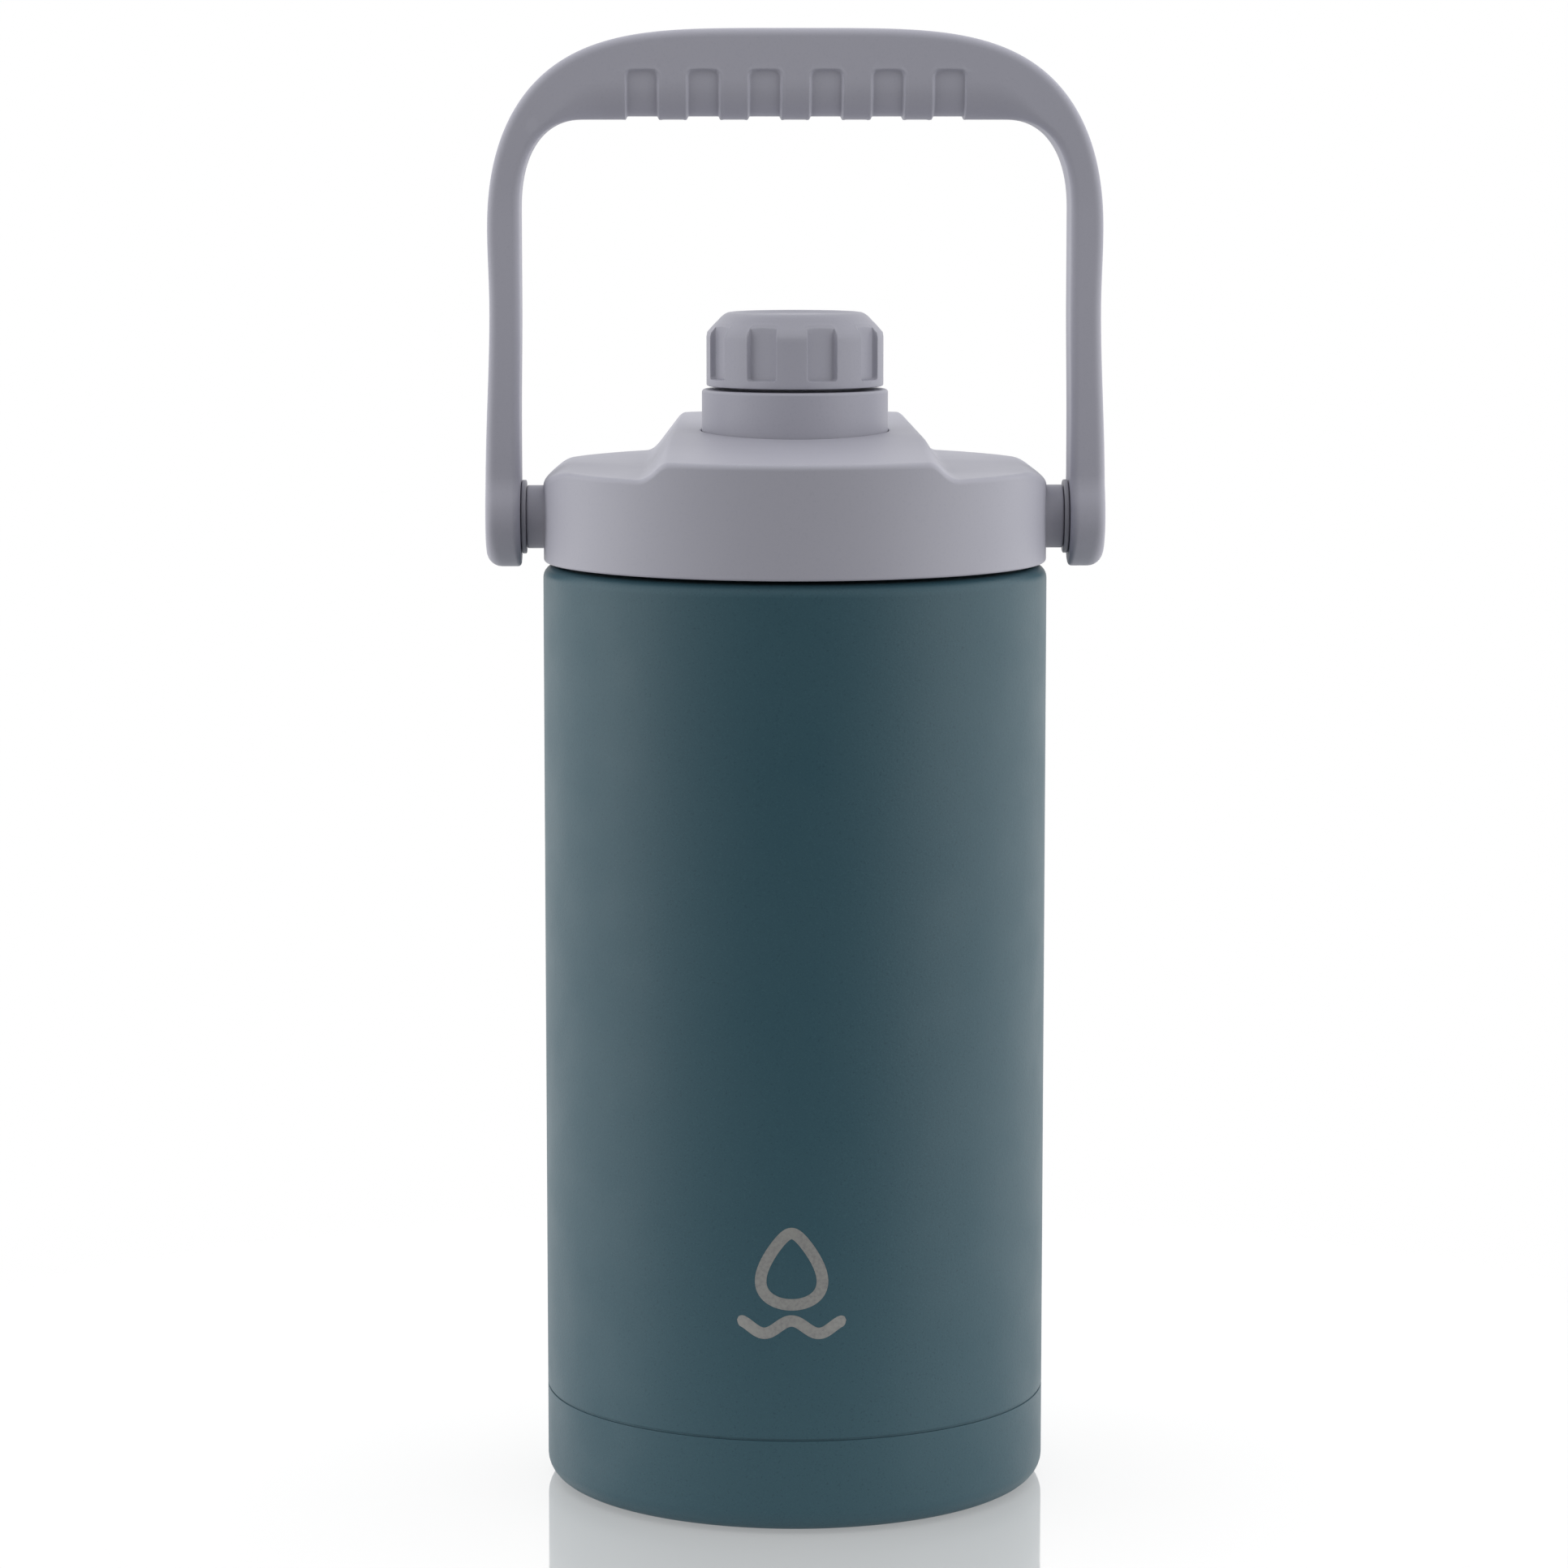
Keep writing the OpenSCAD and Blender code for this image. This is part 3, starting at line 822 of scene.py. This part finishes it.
def water_mark():
    """A generic water drop over a ripple, in bare steel."""
    centre, centre_z = -1.8, 59.5
    half = 1.35
    drop_w, drop_h, drop_rise = 9.4, 8.4, 3.3
    ripple_w, ripple_h, ripple_fall = 12.7, 1.5, 10.4
    drop = []
    for i in range(120):
        t = 2 * math.pi * i / 120
        belly = 0.38 + 0.64 * math.sin(t / 2) ** 2
        drop.append((centre + drop_w * math.sin(t) * belly, centre_z + drop_rise + drop_h * math.cos(t)))
    make_piece("mark_drop", stroke(drop, half, True), "jug", MARK, even=False)
    ripple = []
    for i in range(97):
        u = ripple_w * (i / 48 - 1)
        ripple.append((centre + u, centre_z - ripple_fall + ripple_h * math.cos(u / ripple_w * 2 * math.pi)))
    make_piece("mark_ripple", stroke(ripple, half, False), "jug", MARK, even=False)


# ---------------------------------------------------------------- lid


def lid_height(x, y):
    """Height of the lid's outer top: nearly flat sides that slope off at the edge, and a raised platform."""
    across = abs(x)
    side_z = LID_SIDE_Z + y * SHOULDER_RISE
    sides = soft_min(side_z, side_z - SIDE_SLOPE * (across - SIDE_FLAT), SIDE_ROUNDING)
    wall_y = math.sqrt(max(LID_R ** 2 - x * x, 1))
    share = min(1.0, max(0.0, RIDGE_Y - y) / max(wall_y + RIDGE_Y, 1))
    back_z = RIDGE_Z + (LID_TOP - RIDGE_Z) * (y - RIDGE_Y) / (LID_R - RIDGE_Y)
    front_z = mix(RIDGE_Z, LID_FRONT_Z, share) + FRONT_RISE * max(0.0, y - RIDGE_Y)
    ridge_share = min(1.0, max(0.0, (BACK_Y - y) / (BACK_Y - RIDGE_Y)))
    top_w = mix(mix(TOP_BACK_W, TOP_RIDGE_W, ridge_share), FRONT_W, share)
    top = soft_min(back_z, front_z, RIDGE_ROUNDING)
    flank = LID_SIDE_Z + (BASE_W - across) * (min(back_z, front_z) - LID_SIDE_Z) / (BASE_W - top_w)
    return soft_max(sides, soft_min(top, flank, FLANK_ROUNDING), STEP_ROUNDING)


def lid_column(angle):
    """One closed section of the lid's shell, in the half plane at that angle."""
    c, s = math.cos(angle), math.sin(angle)

    def top(r):
        return lid_height(r * c, r * s)

    pocket = COLLAR_R + 0.25
    inner = LID_R - LID_T
    section = [(STEM_R + 0.1, POCKET_Z), (pocket - 0.15, POCKET_Z), (pocket, POCKET_Z + 0.15)]
    for in_share, up_share in quarter(4):
        r = pocket + POCKET_EDGE - POCKET_EDGE * in_share
        section.append((r, top(pocket + POCKET_EDGE) - POCKET_EDGE + POCKET_EDGE * up_share))
    section += [(r, top(r)) for r in stations(pocket + 0.6, LID_R - LID_EDGE - 0.1, 0.6)]
    for up_share, out_share in quarter(8):
        r = LID_R - LID_EDGE + LID_EDGE * out_share
        section.append((r, top(r) - LID_EDGE + LID_EDGE * up_share))
    high = section[-1][1]
    low = LID_BOTTOM + LID_FOOT_EDGE
    section += [(LID_R, mix(high, low, k / 8)) for k in range(1, 9)]
    for out_share, down_share in quarter(5)[1:]:
        r = LID_R - LID_FOOT_EDGE + LID_FOOT_EDGE * out_share
        section.append((r, low - LID_FOOT_EDGE * down_share))
    section += [(inner + 0.3, LID_BOTTOM), (inner, LID_BOTTOM + 0.3)]
    section.append((inner, top(inner) - LID_T - 1))
    under = [(r, min(top(r), RIDGE_Z) - LID_T) for r in stations(STEM_R + 0.1, inner - 1, 3.2)]
    section += reversed(under)
    return [(r * c, r * s, z) for r, z in section]


def lid_top():
    shape = wrap([lid_column(2 * math.pi * i / LID_ROUND) for i in range(LID_ROUND)])
    make_piece("lid_top", shape, "lid", LID_PLASTIC, ["lid_shell"])


def pivot_boss(side, word):
    outer = BOSS_OUT - 0.05
    outline = rounded([
        (BOSS_BORE, BOSS_FOOT, 0), (BOSS_R + 0.3, BOSS_FOOT, 0), (BOSS_R + 0.3, LID_R - 0.5, 0),
        (BOSS_R, LID_R - 0.05, 0), (BOSS_R, outer, 0.5), (BOSS_BORE, outer, 0)])
    make_piece("pivot_boss_" + word, spin_on_pivot(outline, side), "lid", LID_PLASTIC)


def pivot_washer(side, word):
    node = "pivot_washer_" + word
    low, high = box_mm(node)
    outer = max(high.x, -low.x)
    recess = BOSS_OUT + 0.12
    outline = rounded([
        (WASHER_BORE, recess, 0), (WASHER_R - 1.1, recess, 0), (WASHER_R - 0.5, BOSS_OUT, 0.2),
        (WASHER_R, BOSS_OUT, 0.3), (WASHER_R, outer, 0.3), (WASHER_BORE, outer, 0)])
    make_piece(node + "_ring", spin_on_pivot(outline, side), "lid", NYLON, [node])


def lid_inside():
    """The threaded liner cup that the lid screws on with."""
    low = LID_BOTTOM + 1.2
    top = LID_DISC_Z + LID_DISC_T
    outline = rounded([
        (STEM_R + 0.1, LID_DISC_Z, 0.3), (LID_THREAD_R, LID_DISC_Z, 0.8), (LID_THREAD_R, low, 0.5),
        (LINER_CUP_R, low, 0.5), (LINER_CUP_R, top, 1.0), (STEM_R + 0.1, top, 0.3)])
    make_piece("lid_inner_cup", spin(outline), "lid", LINER_PLASTIC, ["lid_liner"])
    root, crest = LID_THREAD_R + 0.3, NECK_R + 0.6
    ridges = [
        wrap(thread_loops(root, crest, NECK_THREAD_Z, LID_LEAD, NECK_THREAD_TURN, first), False)
        for first in (90, 270)]
    make_piece("lid_inner_thread", join_shapes(*ridges), "lid", LINER_PLASTIC)


def mouth_gasket():
    """The silicone ring that seals on the steel rim, with a thin lip round its inside."""
    low, high = box_mm("lid_gasket")
    inner = 45.8
    lip = low.z + 0.5
    outline = rounded([
        (inner, lip, 0.3), (inner + 1.6, lip, 0.2), (inner + 2.0, low.z, 0.2), (high.x, low.z, 0.5),
        (high.x, high.z, 0.5), (inner, high.z, 0.5)])
    make_piece("mouth_gasket", spin(outline), "lid_seal", SILICONE, ["lid_gasket"])


def spout_tube():
    """The drinking spout: stem with its snap lip, collar under the cap, and threaded tube."""
    low = box_mm("spout")[0].z
    catch = LID_DISC_Z - 0.1
    outline = rounded([
        (BORE_R, low, 0.4), (STEM_R, low, 0.3), (STEM_R + 0.9, catch, 0.1), (STEM_R, catch, 0),
        (STEM_R, POCKET_Z, 0), (COLLAR_R - 0.25, POCKET_Z, 0), (COLLAR_R, POCKET_Z + 0.45, 0.2),
        (COLLAR_R, COLLAR_TOP, 0.7), (SPOUT_R, COLLAR_TOP, 0.6),
        (SPOUT_R, SPOUT_TOP, 1.1), (BORE_R, SPOUT_TOP, 1.1)])
    make_piece("spout_tube", spin(outline, SPOUT_ROUND), "lid", LID_PLASTIC, ["spout"])
    loops = thread_loops(SPOUT_R - 0.3, SPOUT_R + 1.2, SPOUT_THREAD_Z, CAP_LEAD, SPOUT_THREAD_TURN, 0)
    make_piece("spout_thread", wrap(loops, False), "lid", LID_PLASTIC)


# ---------------------------------------------------------------- cap


def rounded_box(u, v, half_u, half_v, radius):
    """Distance outside (above 0) or inside (below 0) a rectangle with rounded corners."""
    du = abs(u) - half_u + radius
    dv = abs(v) - half_v + radius
    return math.hypot(max(du, 0), max(dv, 0)) + min(max(du, dv), 0) - radius


def cap_radius(angle, z):
    """Radius of the cap's side: a wall and a chamfer, with finger windows let into them."""
    wall = soft_min(CAP_R, CAP_R - (z - CAP_CHAMFER_Z) * CAP_CHAMFER_SLOPE, 0.5)
    pitch = 2 * math.pi / WINDOWS
    off = (angle + math.pi / 2 - math.radians(WINDOW_TURN)) % pitch - pitch / 2
    up = z - (WINDOW_LOW + WINDOW_HIGH) / 2
    edge = rounded_box(off * CAP_R, up, WINDOW_HALF, (WINDOW_HIGH - WINDOW_LOW) / 2, WINDOW_CORNER)
    inside = smoothstep((0.14 - edge) / 0.34)
    lip = 0.08 * math.exp(-(((edge - 0.3) / 0.25) ** 2))
    floor = min(wall, WINDOW_FLOOR / math.cos(off))
    return min(CAP_R, mix(wall + lip, floor, inside))


# the cap's soft shoulder, low rim and shallow dish: distance in from CAP_RIM, and down from the top
CAP_DISH = (
    (-0.1, 1.2), (0.45, 0.72), (1.0, 0.36), (1.6, 0.1), (2.2, 0), (2.7, 0.04),
    (3.3, 0.25), (3.9, 0.52), (4.6, 0.7), (5.4, 0.78), (9, 0.8), (CAP_RIM, 0.8))


def cap_top():
    pitch = 360 / WINDOWS
    edge = math.degrees(WINDOW_HALF / CAP_R)
    marks = [WINDOW_TURN - 90 + pitch * (k + 0.5) + sign * edge for k in range(WINDOWS) for sign in (-1, 1)]
    offsets = (-1.5, -1.0, -0.65, -0.4, -0.2, 0, 0.2, 0.4, 0.65, 1.0, 1.5)
    angles = stations(-90, 270, 1.4, marks, offsets)[:-1]
    near = (-0.6, -0.35, -0.2, -0.1, 0, 0.1, 0.2, 0.35, 0.6, 0.9)
    heights = stations(CAP_BOTTOM + 0.4, CAP_TOP - 1.6, 1.0, (WINDOW_LOW, WINDOW_HIGH), near)
    loops = []
    for degrees in angles:
        a = math.radians(degrees)
        section = [(0, CAP_CEILING), (CAP_IN - 0.6, CAP_CEILING), (CAP_IN, CAP_CEILING - 0.6)]
        section += [(CAP_IN, CAP_BOTTOM + 0.3), (CAP_IN + 0.3, CAP_BOTTOM), (CAP_R - 0.4, CAP_BOTTOM)]
        section += [(CAP_R - 0.12, CAP_BOTTOM + 0.12)]
        section += [(cap_radius(a, z), z) for z in heights]
        section += [(CAP_RIM - inward, CAP_TOP - down) for inward, down in CAP_DISH]
        loops.append([(r * math.cos(a), r * math.sin(a), z) for r, z in section])
    make_piece("cap_top", wrap(loops), "cap", LID_PLASTIC, ["cap_shell"])


def cap_inside():
    """The cap's threaded inner cup and the seal in it."""
    outer = CAP_IN - 0.1
    outline = rounded([
        (0, CAP_DISC_Z, 0), (CAP_THREAD_R, CAP_DISC_Z, 0.4), (CAP_THREAD_R, CAP_BOTTOM + 0.6, 0.4),
        (outer, CAP_BOTTOM + 0.6, 0.3), (outer, CAP_CEILING, 0.4), (0, CAP_CEILING, 0)])
    cup = spin(outline, CAP_ROUND)
    make_piece("cap_inner_cup", cup, "cap", LINER_PLASTIC, ["cap_liner"])
    loops = thread_loops(CAP_THREAD_R + 0.3, SPOUT_R + 0.5, SPOUT_THREAD_Z, CAP_LEAD, SPOUT_THREAD_TURN, 180)
    make_piece("cap_inner_thread", wrap(loops, False), "cap", LINER_PLASTIC)
    low, high = box_mm("cap_gasket")
    outline = rounded([
        (BORE_R - 0.4, low.z + 0.3, 0.2), (SPOUT_R - 1.4, low.z + 0.3, 0.1), (SPOUT_R - 1.1, low.z, 0.1),
        (high.x, low.z, 0.3), (high.x, high.z, 0.3), (BORE_R - 0.4, high.z, 0.3)])
    make_piece("spout_gasket", spin(outline, CAP_ROUND), "cap_seal", SILICONE, ["cap_gasket"])


# ---------------------------------------------------------------- handle


def arm_outer(z):
    """Outer face of the arm at a height, from the hub up into the corner."""
    if z >= OUTER_FOOT:
        up = (z - OUTER_FOOT) / (GRIP_TOP - OUTER_FOOT)
        return OUTER_SIDE * (1 - up ** UP_POWER) ** (1 / ACROSS_POWER)
    low, high = OUTER_SWELL
    above = z - PIVOT_Z
    if above >= high:
        return mix(ARM_OUT, OUTER_SIDE, smoothstep((above - high) / (OUTER_FOOT - PIVOT_Z - high)))
    return mix(HUB_OUT, ARM_OUT, smoothstep((above - low) / (high - low)))


def arm_inner(z):
    low, high = INNER_SWELL
    return mix(ARM_IN, INNER_SIDE, smoothstep((z - PIVOT_Z - low) / (high - low)))


def grip_outer(x):
    """Height of the grip's outer face at a place across."""
    share = (1 - (abs(x) / OUTER_SIDE) ** ACROSS_POWER) ** (1 / UP_POWER)
    return OUTER_FOOT + (GRIP_TOP - OUTER_FOOT) * share


def outside_grip(x, z):
    """Above 0 where a point lies outside the handle's outer outline."""
    across = abs(x) / OUTER_SIDE
    up = max(z - OUTER_FOOT, 0) / (GRIP_TOP - OUTER_FOOT)
    return across ** ACROSS_POWER + up ** UP_POWER - 1


def outside_gap(x, z):
    """Above 0 where a point lies outside the outline of the hand gap."""
    across = max(abs(x) - INNER_CORNER_X, 0) / (INNER_SIDE - INNER_CORNER_X)
    up = max(z - INNER_FOOT, 0) / (GRIP_UNDER - INNER_FOOT)
    return across ** GAP_POWER + up ** GAP_POWER - 1


def reach(angle, outside):
    """The point where a ray from the corner's hub, at that angle above +X, crosses an outline."""
    low, high = 0.0, 60.0
    c, s = math.cos(angle), math.sin(angle)
    for _ in range(40):
        middle = (low + high) / 2
        if outside(CORNER_HUB[0] + middle * c, CORNER_HUB[1] + middle * s) > 0:
            high = middle
        else:
            low = middle
    return Vector((CORNER_HUB[0] + low * c, CORNER_HUB[1] + low * s))


def half_section(thick, depth, under, edge):
    """Half of a section, as (y, height above the inner face), from the inner middle to the outer middle."""
    under_y, under_h = under
    flat = depth - under_y
    half = [(flat * k / 3, 0.0) for k in range(3)]
    half += [(flat + under_y * out, under_h * (1 - down)) for down, out in quarter(10)]
    room = thick - edge - under_h
    # on the grip, the rows draw together at the top edge of the finger recesses
    scale = min(1.0, room / 9)
    rows = [scale * o for o in (0.7, 1.3, 1.8, 2.2, 2.5, 2.7, 2.85, 3.0, 3.15, 3.3, 3.5, 3.9)]
    rows += [mix(rows[-1], room, k / 5) for k in range(1, 5)]
    half += [(depth, under_h + row) for row in rows]
    half += [(depth - edge + edge * out, thick - edge + edge * up) for out, up in quarter(7)]
    half += [((depth - edge) * k / 2, thick) for k in (1, 0)]
    return half


def pressed_in(half, x):
    """The half section with the finger recesses pressed into it, for a section across the grip at x."""
    nearest = min(RECESS_SPOTS, key=lambda spot: abs(x - spot))
    if abs(x - nearest) > RECESS_HALF + 1:
        return half
    along = [0.0]
    for a, b in zip(half, half[1:]):
        along.append(along[-1] + math.dist(a, b))
    top_h = RECESS_TOP - GRIP_UNDER
    top = next(s + top_h - h for s, (y, h), (_, up) in zip(along, half, half[1:]) if up > top_h >= h)
    pressed = []
    for i, (y, h) in enumerate(half):
        before, after = half[max(i - 1, 0)], half[min(i + 1, len(half) - 1)]
        along_y, along_h = after[0] - before[0], after[1] - before[1]
        size = math.hypot(along_y, along_h)
        edge = rounded_box(x - nearest, along[i], RECESS_HALF, top, RECESS_CORNER)
        depth = RECESS_DEEP * smoothstep((0.1 - edge) / 0.5) - 0.10 * math.exp(-(((edge - 0.4) / 0.3) ** 2))
        if along[i] > top + 2:
            depth = 0
        pressed.append((y - depth * along_h / size, h + depth * along_y / size))
    return pressed


def full_section(outer, inner, half):
    """A closed loop of points, from a half section between an inner and an outer point in the XZ plane."""
    out = (outer - inner).normalized()
    points = [(inner.x + out.x * h, y, inner.y + out.y * h) for y, h in half]
    mirrored = [(x, -y, z) for x, y, z in reversed(points[1:-1])]
    return points + mirrored


def arm_depth(z):
    """Half of the arm's depth, front to back, swelling to the round hub."""
    hub = math.sqrt(max(HUB_R ** 2 - (z - PIVOT_Z) ** 2, 1))
    return soft_max(hub, ARM_DEPTH, 1.6)


def handle_loops():
    """Closed loops from the right pivot up over the grip to the left one."""
    loops = []
    for z in stations(PIVOT_Z, CORNER_HUB[1], 3.0, (PIVOT_Z + 8,), (-6, -4, -2, 0, 2, 4)):
        outer, inner = Vector((arm_outer(z), z)), Vector((arm_inner(z), z))
        depth = min(arm_depth(z), HUB_R)
        half = half_section(outer.x - inner.x, depth, (ARM_UNDER_ROUND, ARM_UNDER_ROUND), EDGE_ROUND)
        loops.append(full_section(outer, inner, half))
    corner_steps = 40
    for k in range(1, corner_steps):
        angle = math.pi / 2 * k / corner_steps
        outer, inner = reach(angle, outside_grip), reach(angle, outside_gap)
        bulk = smoothstep((BULK_FROM - inner.x) / BULK_RUN) if inner.y > INNER_FOOT + 4 else 0
        depth = mix(ARM_DEPTH, GRIP_DEPTH, smoothstep(k / (corner_steps - 4)))
        under = [mix(ARM_UNDER_ROUND, size, bulk) for size in GRIP_UNDER_ROUND]
        half = half_section((outer - inner).length, depth, under, EDGE_ROUND)
        loops.append(full_section(outer, inner, half))
    edges = [spot + sign * RECESS_HALF for spot in RECESS_SPOTS for sign in (-1, 1)]
    near = (-1.0, -0.7, -0.5, -0.35, -0.2, -0.05, 0.1, 0.25, 0.45, 0.7, 1.0)
    across = stations(-CORNER_HUB[0], CORNER_HUB[0], 1.4, edges, near)
    for x in reversed(across):
        top = grip_outer(x)
        outer, inner = Vector((x, top)), Vector((x, GRIP_UNDER))
        half = half_section(top - GRIP_UNDER, GRIP_DEPTH, GRIP_UNDER_ROUND, EDGE_ROUND)
        loops.append(full_section(outer, inner, pressed_in(half, x)))
    right = [loop for loop in loops if loop[0][0] > CORNER_HUB[0] + 1e-6]
    left = [[(-x, y, z) for x, y, z in loop] for loop in reversed(right)]
    return loops + left


def hub_end(side):
    """The rounded lower end of an arm: half a section turned half way round the pivot."""
    loops = []
    thick = HUB_OUT - ARM_IN
    steps = 32
    for k in range(steps + 1):
        a = math.pi * k / steps
        low = math.sin(a) ** 2
        under = mix(ARM_UNDER_ROUND, HUB_UNDER_ROUND, low)
        half = half_section(thick, HUB_R, (under, under), mix(EDGE_ROUND, HUB_EDGE_ROUND, low))
        loops.append([(side * (ARM_IN + h), y * math.cos(a), PIVOT_Z - y * math.sin(a)) for y, h in half])
    size = len(loops[0])
    points = [p for loop in loops for p in loop]
    faces = []
    for i in range(len(loops) - 1):
        for j in range(size - 1):
            faces.append((i * size + j, (i + 1) * size + j, (i + 1) * size + j + 1, i * size + j + 1))
    return points, faces


def open_run(loops):
    """Loops joined in order, without caps."""
    points, faces = wrap(loops, False)
    return points, faces[:-2]


def bore(target, side):
    """Cuts the bush's bore and the pocket for the screw's head into a hub."""
    start, end = ARM_IN - 3, HUB_OUT + 3
    bush_bore = BUSH_R + 0.02
    outline = [(0, start), (bush_bore, start), (bush_bore, HEAD_SEAT)]
    outline += [(POCKET_R, HEAD_SEAT), (POCKET_R, end), (0, end)]
    cutter = make_piece("cutter", spin_on_pivot(outline, side), "handle", HANDLE_PLASTIC)
    cut = target.modifiers.new("bore", "BOOLEAN")
    cut.operation = "DIFFERENCE"
    cut.solver = "EXACT"
    cut.object = cutter
    bpy.context.view_layer.update()
    depsgraph = bpy.context.evaluated_depsgraph_get()
    made = bpy.data.meshes.new_from_object(target.evaluated_get(depsgraph))
    target.modifiers.remove(cut)
    target.data = made
    bpy.data.objects.remove(cutter)


def carry_handle():
    shape = join_shapes(open_run(handle_loops()), hub_end(1), hub_end(-1))
    handle = make_piece("carry_handle_moulding", shape, "handle", HANDLE_PLASTIC,
                        ["carry_handle"], even=False)
    for side in (1, -1):
        bore(handle, side)
    handle.data.shade_smooth()
    handle.data.set_sharp_from_angle(angle=SHARP)
    even_normals(handle)


def pivot_cap(side, word):
    """The cover over a screw's head, with a shallow round dish in it."""
    node = "pivot_cap_" + word
    outer = HUB_OUT - 0.05
    edge = POCKET_R - 0.08
    outline = rounded([
        (0, outer - 1.3, 0), (edge, outer - 1.3, 0), (edge, outer, 0.35),
        (4.6, outer, 0.5), (4.2, outer - 0.3, 0.5), (0, outer - 0.3, 0)])
    shape = spin_on_pivot(outline, side)
    make_piece(node + "_disc", shape, "handle", HANDLE_PLASTIC, [node])


# ---------------------------------------------------------------- kept CAD nodes


def dress_kept_nodes():
    """Better materials for the CAD nodes that stay as they are. The O-ring takes the washers' dark grey."""
    finishes = {
        "shell_bottom": LINER_STEEL, "vacuum_seal": BEAD, "getter_pellet": GETTER, "lid_foam": FOAM,
        "spout_o_ring": NYLON,
    }
    for _, word in SIDES:
        finishes["pivot_insert_" + word] = BRASS
        finishes["pivot_screw_" + word] = SCREW_STEEL
        finishes["handle_bush_" + word] = LINER_PLASTIC
    for node, material in finishes.items():
        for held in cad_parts[node].material_slots:
            held.material = material


body_shell()
neck_sleeve()
base_cup()
inner_vessel()
water_mark()
lid_top()
for side, word in SIDES:
    pivot_boss(side, word)
    pivot_washer(side, word)
lid_inside()
mouth_gasket()
spout_tube()
cap_top()
cap_inside()
carry_handle()
for side, word in SIDES:
    pivot_cap(side, word)
dress_kept_nodes()
